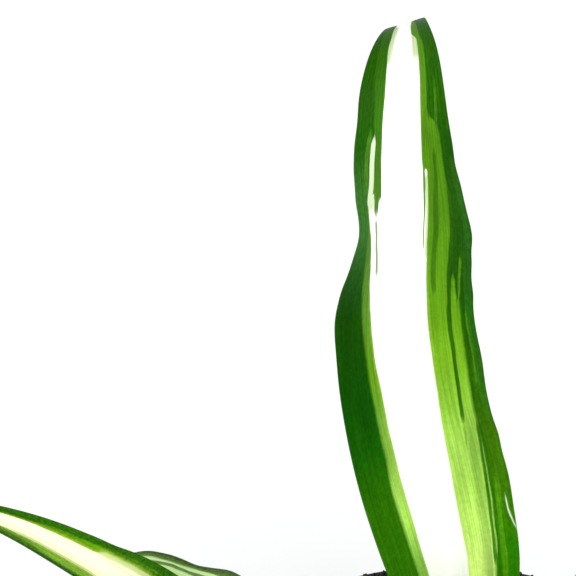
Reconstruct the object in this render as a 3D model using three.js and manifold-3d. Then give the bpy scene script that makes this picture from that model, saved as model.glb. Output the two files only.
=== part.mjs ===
// A potted spider plant: variegated leaves that arch from one short crown in a dark nursery pot.
// Millimetres and degrees, +Z up. The origin is the middle of the pot's underside. +Y points away
// from where the plant is best looked at, and +X to the right.

import * as THREE from 'three';
import * as BufferGeometryUtils from 'three/addons/utils/BufferGeometryUtils.js';
import Module from 'manifold-3d';

const wasm = await Module();
wasm.setup();

// Driving dimensions of the pot
const POT_HEIGHT = 72;
const RIM_RADIUS = 41;
const FOOT_RADIUS = 28.5;
const WALL = 1.3;
const COLLAR_HEIGHT = 12;
const COLLAR_STEP = 1.6;
const COLLAR_TAPER = 0.6;
const LIP_HEIGHT = 2.4;
const LIP_WIDTH = 1.2;
const EDGE = 0.5;
const FOOT_EDGE = 0.8;
const BASE_THICKNESS = 1.6;
const RECESS = 1.5;
const CENTRE_PAD_RADIUS = 11;
const FOOT_RING_WIDTH = 5;
const DRAIN_COUNT = 6;
const DRAIN_RADIUS = 3.2;
const DRAIN_SIDES = 16;
const POT_SIDES = 48;

// Driving dimensions of the soil and of the hole that the crown stands in
const CLEARANCE = 0.3;
const SOIL_SLACK = 0.45;
const SOIL_LEVEL = 60;
const SOIL_EDGE = 57.8;
const SOIL_SWELL = 0.8;
const SOIL_BUMP = 1.1;
const SOIL_RINGS = 7;
const SOIL_SIDES = 40;
const HOLE_RADIUS = 14.1;
const HOLE_FLOOR = 24;

// Driving dimensions of the crown and its roots
const CROWN_RADIUS = 13.5;
const CROWN_CENTRE = 51.5;
const CROWN_RINGS = 7;
const CROWN_SIDES = 28;
const DOME_START = -20;
const NECK_RADIUS = 7;
const NECK_HEIGHT = 4;
const ROOT_TOP = 48;
const ROOT_LENGTH = 22;
const ROOT_RADIUS = 2.6;
const ROOT_SPREAD = 3.9;
const ROOT_SPLAY = 7;
const ROOT_COUNT = 6;
const ROOT_SIDES = 9;

// Driving dimensions of the leaves
const BLADE_THICKNESS = 0.6;
const MIDRIB_THICKNESS = 0.9;
const SEAT_THICKENING = 0.3;
const SEAT_SHARE = 0.17;
const RIPPLE_OFFSET = 115;
const STATIONS = 21;
const COLUMNS = [-1, -0.55, 0, 0.55, 1];
const FINE_STATIONS = 36;
const FINE_COLUMNS = [-1, -0.7, -0.35, 0, 0.35, 0.7, 1];

// Each list below holds values at even steps from a leaf's seat to its tip, joined by a smooth curve.
// pitch is the slope of the midrib, lean turns it sideways, roll turns the blade about its midrib,
// outline is the width as a share of the full width, and the folds lift each half of the channel.
// wave ripples both edges by that many degrees, waves times along the leaf, starting from phase.
const COMMON_OUTLINE = [0.32, 0.62, 0.9, 1, 0.97, 0.86, 0.68, 0.42, 0.05];
const COMMON_FOLD = [52, 38, 27, 21, 17, 15, 13, 11, 10];

const LEAVES = [
  {
    name: 'leaf_upright',
    heading: 90,
    length: 156,
    width: 23.8,
    fine: true,
    pitch: [77, 84, 85, 84, 83, 82, 79, 76, -16, -58, -70],
    lean: [5, -4, -11, -13, -11, -3, 1, 2, 2, 2, 2],
    roll: [-4, -8, -8, -8, -8, -8, -8, 6, 14, 8, 0],
    outline: [0.32, 0.62, 0.99, 1.06, 1.01, 0.96, 0.84, 0.57, 0.29, 0.15, 0.04],
    foldLeft: [52, 51, 42, 32, 26, 30, 47, 20, 0, 10, 20],
    foldRight: [52, 40, 27, 24, 22, 22, 22, 18, 6, 10, 20],
  },
  {
    name: 'leaf_left',
    heading: 179,
    length: 108,
    width: 14,
    fine: true,
    pitch: [54, 42, 34, 33, 35, 31, 16, -12, -45],
    lean: [0, -2, 6, 6],
    roll: [7, 7],
    outline: [0.34, 0.62, 0.82, 0.9, 1, 0.74, 0.36, 0.25, 0.05],
  },
  {
    name: 'leaf_back_left',
    heading: 152,
    length: 110,
    width: 14,
    fine: true,
    pitch: [42, 34, 13, -6, -5, -35, -58, -70, -74],
    lean: [0, 8, 8, 8],
    roll: [-4, -4],
  },
  {
    name: 'leaf_back',
    heading: 86,
    length: 112,
    width: 13,
    pitch: [42, 29, 10, -12, -42, -62, -70, -76, -78],
    lean: [0, 0],
    wave: 5,
    waves: 2.2,
    phase: 40,
  },
  {
    name: 'leaf_back_right',
    heading: 45,
    length: 132,
    width: 15,
    pitch: [41, 27, 15, 4, -11, -34, -52, -62, -66],
    lean: [0, -4, -8],
    wave: 6,
    waves: 2.5,
    phase: 120,
  },
  {
    name: 'leaf_right_back',
    heading: 22,
    length: 128,
    width: 14,
    pitch: [46, 41, 34, 22, 4, -20, -42, -54, -60],
    lean: [0, 2, -4],
    outline: [0.26, 0.58, 0.9, 1, 0.97, 0.86, 0.68, 0.42, 0.05],
    wave: 5,
    waves: 2.6,
    phase: 75,
  },
  {
    name: 'leaf_right',
    heading: -2,
    length: 150,
    width: 16,
    pitch: [54, 50, 45, 36, 20, -8, -36, -54, -60],
    lean: [0, 4, 2],
    wave: 6,
    waves: 3,
    phase: 200,
  },
  {
    name: 'leaf_right_low',
    heading: -21,
    length: 112,
    width: 13,
    pitch: [40, 31, 19, 0, -26, -48, -60, -66, -68],
    lean: [0, 0],
    wave: 5,
    waves: 2,
    phase: 300,
  },
  {
    name: 'leaf_front_right',
    heading: -44,
    length: 156,
    width: 17,
    pitch: [53, 53, 49, 40, 18, -16, -44, -58, -62],
    lean: [0, -3, -6],
    wave: 6,
    waves: 3,
    phase: 20,
  },
  {
    name: 'leaf_front_low',
    heading: -68,
    length: 120,
    width: 14,
    pitch: [41, 33, 20, -2, -30, -52, -64, -70, -72],
    lean: [0, 4],
    wave: 5,
    waves: 2.4,
    phase: 90,
  },
  {
    name: 'leaf_front',
    heading: -92,
    length: 140,
    width: 16,
    pitch: [54, 53, 46, 32, 8, -24, -50, -62, -66],
    lean: [0, -2, 4],
    wave: 6,
    waves: 2.8,
    phase: 160,
  },
  {
    name: 'leaf_front_left_low',
    heading: -116,
    length: 126,
    width: 14,
    pitch: [41, 34, 24, 6, -20, -46, -60, -66, -68],
    lean: [0, 3],
    wave: 5,
    waves: 2.2,
    phase: 250,
  },
  {
    name: 'leaf_front_left',
    heading: -136,
    length: 144,
    width: 16,
    pitch: [55, 50, 42, 28, 4, -26, -50, -60, -64],
    lean: [0, 2, -5],
    wave: 6,
    waves: 3,
    phase: 330,
  },
  {
    name: 'leaf_left_low',
    heading: -162,
    length: 104,
    width: 12,
    pitch: [41, 33, 18, -8, -36, -56, -66, -72, -74],
    lean: [0, 4],
    wave: 4,
    waves: 2,
    phase: 60,
  },
  {
    name: 'leaf_inner_front',
    heading: -71,
    length: 118,
    width: 14,
    pitch: [68, 68, 65, 54, 26, -16, -46, -56, -60],
    lean: [0, 2, -3],
    outline: [0.26, 0.6, 0.9, 1, 0.97, 0.86, 0.68, 0.42, 0.05],
    wave: 5,
    waves: 2.4,
    phase: 140,
  },
  {
    name: 'leaf_inner_left',
    heading: -159,
    length: 104,
    width: 12,
    pitch: [66, 62, 54, 38, 10, -20, -40, -52, -58],
    lean: [0, 3, -2],
    outline: [0.3, 0.6, 0.9, 1, 0.97, 0.86, 0.68, 0.42, 0.05],
    wave: 5,
    waves: 2.4,
    phase: 10,
  },
  {
    name: 'leaf_young_right',
    heading: -22,
    length: 46,
    width: 8,
    pitch: [68, 67, 60, 48, 34],
    lean: [0, 3],
    outline: [0.5, 0.9, 1, 0.8, 0.06],
    fold: [54, 46, 38, 30, 26],
  },
  {
    name: 'leaf_young_front',
    heading: -118,
    length: 58,
    width: 9,
    pitch: [76, 70, 60, 44, 26],
    lean: [0, -4],
    outline: [0.46, 0.85, 1, 0.8, 0.06],
    fold: [54, 44, 34, 28, 24],
  },
];

const radians = THREE.MathUtils.degToRad;

// A Catmull-Rom curve through evenly spaced values, read at t from 0 to 1.
function through(values, t) {
  const last = values.length - 1;
  const place = Math.min(Math.max(t, 0), 1) * last;
  const i = Math.min(Math.floor(place), last - 1);
  const f = place - i;
  const b = values[i];
  const c = values[i + 1];
  const a = i > 0 ? values[i - 1] : 2 * b - c;
  const d = i + 2 <= last ? values[i + 2] : 2 * c - b;
  const slope = (c - a) * f;
  const bend = (2 * a - 5 * b + 4 * c - d) * f * f;
  const twist = (3 * b - a - 3 * c + d) * f * f * f;
  return 0.5 * (2 * b + slope + bend + twist);
}

// A closed mesh from a list of rings, each a list of points; the first and last ring are single points.
function skinOfRings(rings) {
  const positions = [];
  const starts = [];
  for (const ring of rings) {
    starts.push(positions.length / 3);
    ring.forEach((p) => positions.push(p.x, p.y, p.z));
  }
  const index = [];
  for (let r = 0; r + 1 < rings.length; r += 1) {
    const sides = Math.max(rings[r].length, rings[r + 1].length);
    for (let k = 0; k < sides; k += 1) {
      const next = (k + 1) % sides;
      const a = starts[r] + (rings[r].length > 1 ? k : 0);
      const b = starts[r] + (rings[r].length > 1 ? next : 0);
      const c = starts[r + 1] + (rings[r + 1].length > 1 ? k : 0);
      const d = starts[r + 1] + (rings[r + 1].length > 1 ? next : 0);
      if (a !== b) index.push(a, b, d);
      if (c !== d) index.push(a, d, c);
    }
  }
  const geometry = new THREE.BufferGeometry();
  geometry.setAttribute('position', new THREE.Float32BufferAttribute(positions, 3));
  geometry.setIndex(index);
  return geometry;
}

// Booleans work on a closed mesh whose shared corners are merged.
function solidOf(geometry) {
  const bare = geometry.clone();
  bare.deleteAttribute('normal');
  bare.deleteAttribute('uv');
  const merged = BufferGeometryUtils.mergeVertices(bare, 1e-4);
  return new wasm.Manifold(new wasm.Mesh({
    numProp: 3,
    vertProperties: new Float32Array(merged.attributes.position.array),
    triVerts: new Uint32Array(merged.index.array),
  }));
}

function geometryOf(solid) {
  const mesh = solid.getMesh();
  const geometry = new THREE.BufferGeometry();
  geometry.setAttribute('position', new THREE.BufferAttribute(mesh.vertProperties, 3));
  geometry.setIndex(new THREE.BufferAttribute(mesh.triVerts, 1));
  return geometry;
}

// A profile of [radius, height] points turned round the Z axis.
function turned(profile, sides) {
  const points = profile.map(([radius, height]) => new THREE.Vector2(radius, height));
  return new THREE.LatheGeometry(points, sides).rotateX(Math.PI / 2);
}

// The pot's outer wall widens evenly from its foot to the shoulder under the collar.
const SHOULDER_RADIUS = RIM_RADIUS - LIP_WIDTH - COLLAR_TAPER - COLLAR_STEP;
const SHOULDER_HEIGHT = POT_HEIGHT - COLLAR_HEIGHT;
const INNER_FLOOR = RECESS + BASE_THICKNESS;

function wallRadius(height) {
  return FOOT_RADIUS + (SHOULDER_RADIUS - FOOT_RADIUS) * (height / SHOULDER_HEIGHT);
}

// The profile runs from the middle of the underside, up the outside, over the lip and down the inside.
function potGeometry() {
  const collarRadius = SHOULDER_RADIUS + COLLAR_STEP;
  const underLip = RIM_RADIUS - LIP_WIDTH;
  const ringInner = FOOT_RADIUS - FOOT_RING_WIDTH;
  const floorRadius = wallRadius(INNER_FLOOR) - WALL;
  const lipBottom = POT_HEIGHT - LIP_HEIGHT;
  const profile = [
    [0, 0],
    [CENTRE_PAD_RADIUS, 0],
    [CENTRE_PAD_RADIUS + EDGE, RECESS],
    [ringInner - EDGE, RECESS],
    [ringInner, 0],
    [FOOT_RADIUS - FOOT_EDGE, 0],
    [wallRadius(FOOT_EDGE), FOOT_EDGE],
    [SHOULDER_RADIUS, SHOULDER_HEIGHT],
    [collarRadius, SHOULDER_HEIGHT + EDGE],
    [underLip, lipBottom - EDGE],
    [RIM_RADIUS - EDGE, lipBottom],
    [RIM_RADIUS, lipBottom + EDGE],
    [RIM_RADIUS, POT_HEIGHT - EDGE],
    [RIM_RADIUS - EDGE, POT_HEIGHT],
    [underLip - WALL + EDGE, POT_HEIGHT],
    [underLip - WALL, POT_HEIGHT - EDGE],
    [collarRadius - WALL, SHOULDER_HEIGHT + WALL],
    [SHOULDER_RADIUS - WALL, SHOULDER_HEIGHT - EDGE],
    [floorRadius, INNER_FLOOR + FOOT_EDGE],
    [floorRadius - FOOT_EDGE, INNER_FLOOR],
    [0, INNER_FLOOR],
  ];
  let pot = solidOf(turned(profile, POT_SIDES));
  const drainRing = (CENTRE_PAD_RADIUS + ringInner) / 2;
  for (let k = 0; k < DRAIN_COUNT; k += 1) {
    const angle = (2 * Math.PI * k) / DRAIN_COUNT;
    const drill = new THREE.CylinderGeometry(DRAIN_RADIUS, DRAIN_RADIUS, 4 * BASE_THICKNESS, DRAIN_SIDES);
    drill.rotateX(Math.PI / 2);
    drill.translate(drainRing * Math.cos(angle), drainRing * Math.sin(angle), RECESS);
    pot = pot.subtract(solidOf(drill));
  }
  return geometryOf(pot);
}

// Low rounded clods, as a few crossed waves between about -1 and 1.
function soilRelief(x, y) {
  const coarse = Math.sin(0.31 * x + 1.3) * Math.sin(0.27 * y + 0.4);
  const middle = Math.sin(0.62 * x - 0.35 * y + 2.1) * Math.cos(0.55 * y + 0.2 * x);
  return 0.55 * coarse + 0.45 * middle;
}

// The soil fills the pot up to SOIL_LEVEL. Rings run up its side, over its top and down the hole.
function soilGeometry() {
  const ring = (radius, height, relief) => {
    const points = [];
    for (let k = 0; k < SOIL_SIDES; k += 1) {
      const angle = (2 * Math.PI * k) / SOIL_SIDES;
      const x = radius * Math.cos(angle);
      const y = radius * Math.sin(angle);
      points.push(new THREE.Vector3(x, y, height + relief * SOIL_BUMP * soilRelief(x, y)));
    }
    return points;
  };
  const inset = WALL + SOIL_SLACK;
  const floor = INNER_FLOOR + CLEARANCE;
  const topRadius = wallRadius(SOIL_EDGE) - inset;
  const rings = [[new THREE.Vector3(0, 0, floor)]];
  rings.push(ring(wallRadius(floor) - inset - FOOT_EDGE, floor, 0));
  rings.push(ring(wallRadius(floor + FOOT_EDGE) - inset, floor + FOOT_EDGE, 0));
  rings.push(ring(topRadius, SOIL_EDGE, 0));
  for (let k = 0; k <= SOIL_RINGS; k += 1) {
    const share = k / SOIL_RINGS;
    const radius = topRadius - EDGE + (HOLE_RADIUS - topRadius + EDGE) * share;
    const swell = Math.sin(Math.PI * share);
    rings.push(ring(radius, SOIL_LEVEL + SOIL_SWELL * swell, 0.5 + 0.5 * swell));
  }
  rings.push(ring(HOLE_RADIUS, HOLE_FLOOR, 0));
  rings.push([new THREE.Vector3(0, 0, HOLE_FLOOR)]);
  return skinOfRings(rings);
}

// The crown is a short stem plate with a domed top, and thick storage roots grow down from it.
function crownGeometry() {
  const bottom = ROOT_TOP - NECK_HEIGHT;
  const profile = [[0, bottom - EDGE], [NECK_RADIUS, bottom]];
  for (let k = 0; k <= CROWN_RINGS; k += 1) {
    const angle = radians(DOME_START + ((90 - DOME_START) * k) / CROWN_RINGS);
    const radius = k === CROWN_RINGS ? 0 : CROWN_RADIUS * Math.cos(angle);
    profile.push([radius, CROWN_CENTRE + CROWN_RADIUS * Math.sin(angle)]);
  }
  let crown = solidOf(turned(profile, CROWN_SIDES));
  for (let k = 0; k < ROOT_COUNT; k += 1) {
    const heading = 360 * (k / ROOT_COUNT) + 14 * Math.sin(2.4 * k);
    const length = ROOT_LENGTH * (0.86 + 0.14 * Math.cos(1.9 * k));
    const outline = [
      [0, -length],
      [0.35 * ROOT_RADIUS, -0.9 * length],
      [0.9 * ROOT_RADIUS, -0.6 * length],
      [ROOT_RADIUS, -0.35 * length],
      [0.7 * ROOT_RADIUS, -EDGE],
      [0, 0],
    ];
    const root = turned(outline, ROOT_SIDES);
    root.rotateY(radians(-ROOT_SPLAY));
    root.translate(ROOT_SPREAD, 0, ROOT_TOP - EDGE);
    root.rotateZ(radians(heading));
    crown = crown.add(solidOf(root));
  }
  return geometryOf(crown);
}

// The directions at one place on a leaf: along the midrib, across to its right half, and up.
function frameAt(leaf, t) {
  const heading = radians(leaf.heading);
  const pitch = radians(through(leaf.pitch, t));
  const lean = radians(through(leaf.lean, t));
  const roll = radians(through(leaf.roll ?? [0, 0], t));
  const across = new THREE.Vector3(Math.sin(heading), -Math.cos(heading), 0);
  const reach = Math.cos(pitch);
  const rise = new THREE.Vector3(reach * Math.cos(heading), reach * Math.sin(heading), Math.sin(pitch));
  const way = rise.clone().multiplyScalar(Math.cos(lean)).addScaledVector(across, Math.sin(lean));
  const flat = across.clone().multiplyScalar(Math.cos(lean)).addScaledVector(rise, -Math.sin(lean));
  const over = flat.clone().cross(way);
  const side = flat.clone().multiplyScalar(Math.cos(roll)).addScaledVector(over, Math.sin(roll));
  const up = over.clone().multiplyScalar(Math.cos(roll)).addScaledVector(flat, -Math.sin(roll));
  return { way, side, up };
}

// The midrib starts CLEARANCE above the crown's dome, where the dome faces the leaf's own slope.
function seatOf(leaf) {
  const heading = radians(leaf.heading);
  const slope = radians(leaf.pitch[0]);
  const seat = new THREE.Vector3(
    Math.cos(slope) * Math.cos(heading),
    Math.cos(slope) * Math.sin(heading),
    Math.sin(slope),
  );
  seat.multiplyScalar(CROWN_RADIUS + CLEARANCE);
  seat.z += CROWN_CENTRE;
  return seat;
}

// One section of a leaf: each half folds up from the midrib, and the underside lies below by the
// blade's thickness, measured square to the face.
function sectionAt(leaf, t, midrib, { side, up }, columns) {
  const fold = leaf.fold ?? COMMON_FOLD;
  const half = (leaf.width / 2) * through(leaf.outline ?? COMMON_OUTLINE, t);
  const ripple = (leaf.wave ?? 0) * Math.sin(Math.PI * t);
  const turn = 360 * (leaf.waves ?? 0) * t + (leaf.phase ?? 0);
  const leftFold = through(leaf.foldLeft ?? fold, t) + ripple * Math.sin(radians(turn));
  const rightFold = through(leaf.foldRight ?? fold, t) + ripple * Math.sin(radians(turn + RIPPLE_OFFSET));
  const thickening = SEAT_THICKENING * Math.max(0, 1 - t / SEAT_SHARE);
  const upper = [];
  const lower = [];
  for (const u of columns) {
    const angle = radians(u < 0 ? leftFold : rightFold);
    const outward = side.clone().multiplyScalar(Math.sign(u));
    const distance = Math.abs(u) * half;
    const point = midrib.clone();
    point.addScaledVector(outward, distance * Math.cos(angle));
    point.addScaledVector(up, distance * Math.sin(angle));
    const normal = up.clone();
    if (u !== 0) {
      normal.multiplyScalar(Math.cos(angle)).addScaledVector(outward, -Math.sin(angle));
    }
    const rib = (MIDRIB_THICKNESS - BLADE_THICKNESS) * (1 - Math.abs(u));
    upper.push(point);
    lower.push(point.clone().addScaledVector(normal, -(BLADE_THICKNESS + rib + thickening)));
  }
  return { upper, lower };
}

// One blade, with the same triangles on both faces so that a waved blade never crosses itself.
function bladeGeometry(leaf) {
  const stations = leaf.fine ? FINE_STATIONS : STATIONS;
  const columns = leaf.fine ? FINE_COLUMNS : COLUMNS;
  const midrib = seatOf(leaf);
  const upper = [];
  const lower = [];
  let frame = frameAt(leaf, 0);
  for (let i = 0; i <= stations; i += 1) {
    const t = i / stations;
    const before = frame;
    frame = frameAt(leaf, t);
    if (i > 0) midrib.addScaledVector(frame.way.clone().add(before.way), leaf.length / stations / 2);
    const section = sectionAt(leaf, t, midrib, frame, columns);
    upper.push(...section.upper);
    lower.push(...section.lower);
  }

  const wide = columns.length;
  const under = upper.length;
  const tip = stations * wide;
  const index = [];
  const quad = (a, b, c, d) => index.push(a, b, c, a, c, d);
  for (let i = 0; i < stations; i += 1) {
    const left = i * wide;
    const right = left + wide - 1;
    for (let a = left; a < right; a += 1) {
      const c = a + wide + 1;
      quad(a, a + 1, c, a + wide);
      index.push(under + a, under + c, under + a + 1, under + a, under + a + wide, under + c);
    }
    quad(under + left, left, left + wide, under + left + wide);
    quad(right, under + right, under + right + wide, right + wide);
  }
  for (let j = 0; j + 1 < wide; j += 1) {
    quad(under + j, under + j + 1, j + 1, j);
    quad(tip + j, tip + j + 1, under + tip + j + 1, under + tip + j);
  }
  const positions = [];
  [...upper, ...lower].forEach((p) => positions.push(p.x, p.y, p.z));
  const geometry = new THREE.BufferGeometry();
  geometry.setAttribute('position', new THREE.Float32BufferAttribute(positions, 3));
  geometry.setIndex(index);
  return geometry;
}

const finishes = {
  pot: new THREE.MeshStandardMaterial({ color: 0x1b2224, roughness: 0.5, metalness: 0 }),
  soil: new THREE.MeshStandardMaterial({ color: 0x3a291d, roughness: 0.95, metalness: 0 }),
  crown: new THREE.MeshStandardMaterial({ color: 0xd9d8b4, roughness: 0.7, metalness: 0 }),
  leaf: new THREE.MeshStandardMaterial({ color: 0x4f8f1d, roughness: 0.4, metalness: 0 }),
};

const plant = new THREE.Group();

function addPiece(name, geometry, material) {
  const piece = new THREE.Mesh(geometry, material);
  piece.name = name;
  plant.add(piece);
}

addPiece('pot', potGeometry(), finishes.pot);
addPiece('soil', soilGeometry(), finishes.soil);
addPiece('crown', crownGeometry(), finishes.crown);
for (const leaf of LEAVES) {
  addPiece(leaf.name, bladeGeometry(leaf), finishes.leaf);
}

export default plant;
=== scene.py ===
# %% [markdown]
# A potted spider plant, dressed for a portrait.
# The solids of the plant already exist as a fixed frame: a nursery pot, its soil, a crown with
# thick roots, and eighteen arching leaves. This lesson gives each of them the surface that the
# real one has. The frame is loaded first, because every fine piece takes its place from it.

# %% Load the frame
import math

import bmesh
import bpy
import numpy as np
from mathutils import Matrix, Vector


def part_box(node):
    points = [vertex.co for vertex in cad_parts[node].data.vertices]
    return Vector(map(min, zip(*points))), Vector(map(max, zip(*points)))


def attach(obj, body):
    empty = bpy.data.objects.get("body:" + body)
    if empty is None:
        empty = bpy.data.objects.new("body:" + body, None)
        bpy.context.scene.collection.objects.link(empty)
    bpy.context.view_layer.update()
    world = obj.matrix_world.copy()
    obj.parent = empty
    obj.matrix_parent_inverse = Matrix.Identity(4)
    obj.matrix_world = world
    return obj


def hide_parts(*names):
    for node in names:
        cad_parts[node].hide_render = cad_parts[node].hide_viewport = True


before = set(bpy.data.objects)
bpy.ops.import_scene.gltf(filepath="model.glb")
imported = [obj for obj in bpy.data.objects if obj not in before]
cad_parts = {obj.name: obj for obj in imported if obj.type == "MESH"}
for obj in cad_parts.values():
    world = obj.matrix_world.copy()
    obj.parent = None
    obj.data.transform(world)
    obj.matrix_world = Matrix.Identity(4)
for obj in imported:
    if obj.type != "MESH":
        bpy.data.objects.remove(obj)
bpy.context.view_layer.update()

MM = 0.001

# %% [markdown]
# The portrait looks down on the plant by about thirty degrees with a long lens, so that one tall
# leaf fills the right half of the picture and the pot's far rim just shows below it. A camera in
# Blender looks along its own -Z, so turning it about X by 90 degrees less the downward pitch aims
# it away from us and down. The lens follows from how many pixels a slope of one covers.

# %% Camera
CAMERA_PLACE = (-27.17, -335.96, 341.97)
CAMERA_PITCH = 29.667
SENSOR_WIDTH = 36
PICTURE_WIDTH = 576
PIXELS_PER_SLOPE = 2666


def put_in_scene(name, data):
    """A new object that shows this data, in the scene."""
    thing = bpy.data.objects.new(name, data)
    bpy.context.scene.collection.objects.link(thing)
    return thing


camera_data = bpy.data.cameras.new("camera")
camera_data.sensor_width = SENSOR_WIDTH
camera_data.lens = SENSOR_WIDTH * PIXELS_PER_SLOPE / PICTURE_WIDTH
camera = put_in_scene("camera", camera_data)
camera.location = [v * MM for v in CAMERA_PLACE]
camera.rotation_euler = (math.radians(90 - CAMERA_PITCH), 0, 0)
bpy.context.scene.camera = camera
print("camera lens:", round(camera_data.lens, 1), "mm")

# %% [markdown]
# The plant stands in bright, even light, so bright that the ground behind it is plain white.
# A white world does half of that work. One large soft lamp in front, a little to the right and
# not much higher than the camera, reaches down into the rosette, and its faint shadow falls away
# behind the pot. The Standard view shows the greens as saturated as they are painted.

# %% Light
WORLD_STRENGTH = 1.2
LAMP_PLACE = (100, -900, 560)
LAMP_SIZE = 620
LAMP_POWER = 11.5
AIM_HEIGHT = 90

bpy.context.scene.view_settings.view_transform = "Standard"
world = bpy.data.worlds.new("white_room")
world.use_nodes = True
world.node_tree.nodes["Background"].inputs["Color"].default_value = (1, 1, 1, 1)
world.node_tree.nodes["Background"].inputs["Strength"].default_value = WORLD_STRENGTH
bpy.context.scene.world = world

lamp_data = bpy.data.lights.new("soft_lamp", "AREA")
lamp_data.size = LAMP_SIZE * MM
lamp_data.energy = LAMP_POWER
lamp = put_in_scene("soft_lamp", lamp_data)
lamp.location = [v * MM for v in LAMP_PLACE]
towards_plant = Vector((0, 0, AIM_HEIGHT * MM)) - lamp.location
lamp.rotation_euler = towards_plant.to_track_quat("-Z", "Y").to_euler()
print("lamp is", round(lamp.location.length / MM), "mm from the middle of the pot's foot")

# %% [markdown]
# The ground is one large matt sheet, faintly cooler than white. It takes the plant's soft shadow
# and bounces light up under the leaves. A World background alone would do neither. It belongs to
# the picture and not to the plant.

# %% Ground
GROUND_REACH = 2500
GROUND_COLOUR = (0.772, 0.788, 0.783, 1)
GROUND_ROUGHNESS = 0.9

reach = GROUND_REACH * MM
corners = [(-reach, -reach, 0), (reach, -reach, 0), (reach, reach, 0), (-reach, reach, 0)]
floor_mesh = bpy.data.meshes.new("floor")
floor_mesh.from_pydata(corners, [], [(0, 1, 2, 3)])
floor = put_in_scene("floor", floor_mesh)
ground = bpy.data.materials.new("pale_ground")
ground.use_nodes = True
ground.node_tree.nodes["Principled BSDF"].inputs["Base Color"].default_value = GROUND_COLOUR
ground.node_tree.nodes["Principled BSDF"].inputs["Roughness"].default_value = GROUND_ROUGHNESS
floor_mesh.materials.append(ground)
print("ground reaches", GROUND_REACH / 1000, "m to each side")

# %% [markdown]
# A finish in Blender is a network of nodes. Each helper below adds one node and wires it, so that
# a recipe reads like a sentence. A source is either a plain number or another node's output.
# Colours are written as they look in the picture, from 0 to 255, and seen() turns them into the
# share of light that the surface sends back in this much light.

# %% Helpers for colours and numbers
LIGHT_LEVEL = 1.75
BRIGHTEST = 0.95
CURVE_START = 0.04045
CURVE_SLOPE = 12.92
CURVE_SHIFT = 0.055
CURVE_POWER = 2.4


def seen(red, green, blue, light=LIGHT_LEVEL):
    """The linear colour that shows as these display values: the display curve undone, over the light."""
    display = np.array([red, green, blue]) / 255
    curved = ((display + CURVE_SHIFT) / (1 + CURVE_SHIFT)) ** CURVE_POWER
    linear = np.where(display <= CURVE_START, display / CURVE_SLOPE, curved)
    return (*np.minimum(linear / light, BRIGHTEST), 1)


def feed(tree, socket, source):
    """Sets a socket to a plain value, or wires another node's output to it."""
    if isinstance(source, bpy.types.NodeSocket):
        tree.links.new(source, socket)
    else:
        socket.default_value = source


def sums(tree, operation, first, second=0.0):
    """One Math node, such as ADD, MULTIPLY or MAXIMUM."""
    node = tree.nodes.new("ShaderNodeMath")
    node.operation = operation
    feed(tree, node.inputs[0], first)
    feed(tree, node.inputs[1], second)
    return node.outputs[0]


def ease(tree, value, low, high, start=0.0, end=1.0):
    """Goes smoothly from start to end while value goes from low to high."""
    node = tree.nodes.new("ShaderNodeMapRange")
    node.interpolation_type = "SMOOTHSTEP"
    for socket, source in zip(node.inputs, (value, low, high, start, end)):
        feed(tree, socket, source)
    return node.outputs["Result"]


def blend(tree, share, first, second, kind="MIX"):
    """A colour between first and second, or their product where kind is MULTIPLY."""
    node = tree.nodes.new("ShaderNodeMix")
    node.data_type = "RGBA"
    node.blend_type = kind
    colours = [socket for socket in node.inputs if socket.type == "RGBA"]
    for socket, source in zip((node.inputs[0], *colours), (share, first, second)):
        feed(tree, socket, source)
    return [socket for socket in node.outputs if socket.type == "RGBA"][0]


print("a mid green is", [round(v, 3) for v in seen(49, 114, 8)])

# %% [markdown]
# Real surfaces are never one flat colour, and a photograph of them would not fit every side. So
# each pattern is worked out: Noise gives soft random values in space, and Bump reads a pattern as
# heights and tilts the shading, which is cheaper than moving points and fine enough for grain.

# %% Helpers for patterns
def noise(tree, place, scale, detail=3.0, stretch=(1, 1, 1), shift=(0, 0, 0)):
    """Soft random values around 0.5, on coordinates that are first stretched and shifted."""
    mapping = tree.nodes.new("ShaderNodeMapping")
    feed(tree, mapping.inputs["Vector"], place)
    mapping.inputs["Scale"].default_value = stretch
    mapping.inputs["Location"].default_value = shift
    node = tree.nodes.new("ShaderNodeTexNoise")
    tree.links.new(mapping.outputs[0], node.inputs["Vector"])
    node.inputs["Scale"].default_value = scale
    node.inputs["Detail"].default_value = detail
    return node.outputs[0]


def relief(tree, surface, height, depth, strength=1.0):
    """Lets a height pattern, depth millimetres from low to high, tilt the surface's shading."""
    node = tree.nodes.new("ShaderNodeBump")
    node.inputs["Strength"].default_value = strength
    node.inputs["Distance"].default_value = depth * MM
    tree.links.new(height, node.inputs["Height"])
    tree.links.new(node.outputs[0], surface.inputs["Normal"])


def new_finish(name, roughness, shine):
    """A material with one Principled surface; roughness and shine are the same all over until wired."""
    material = bpy.data.materials.new(name)
    material.use_nodes = True
    surface = material.node_tree.nodes["Principled BSDF"]
    surface.inputs["Roughness"].default_value = roughness
    surface.inputs["Specular IOR Level"].default_value = shine
    return material, material.node_tree, surface


print("pattern helpers are ready; a relief of one millimetre is", MM, "m deep here")

# %% [markdown]
# Every new piece is a closed skin: rings of points one after another, quads between neighbouring
# rings, and something that closes each end. Worked out as whole numpy arrays, a hundred thousand
# points take no longer to write than ten.

# %% Skins
def unit(vectors):
    """The same directions at length one."""
    return vectors / np.linalg.norm(vectors, axis=-1, keepdims=True)


def quads_between(rings, around):
    """Quads from each ring of a tube to the next one, as point numbers."""
    ring, step = np.meshgrid(np.arange(rings - 1), np.arange(around), indexing="ij")
    here = ring * around + step
    beside = ring * around + (step + 1) % around
    return np.stack([here, beside, beside + around, here + around], -1).reshape(-1, 4)


def fan(ring_start, around, pole, flipped):
    """Triangles from one ring to a single point."""
    step = np.arange(around)
    faces = np.stack([ring_start + (step + 1) % around, ring_start + step, np.full(around, pole)], -1)
    return faces[:, ::-1] if flipped else faces


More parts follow.
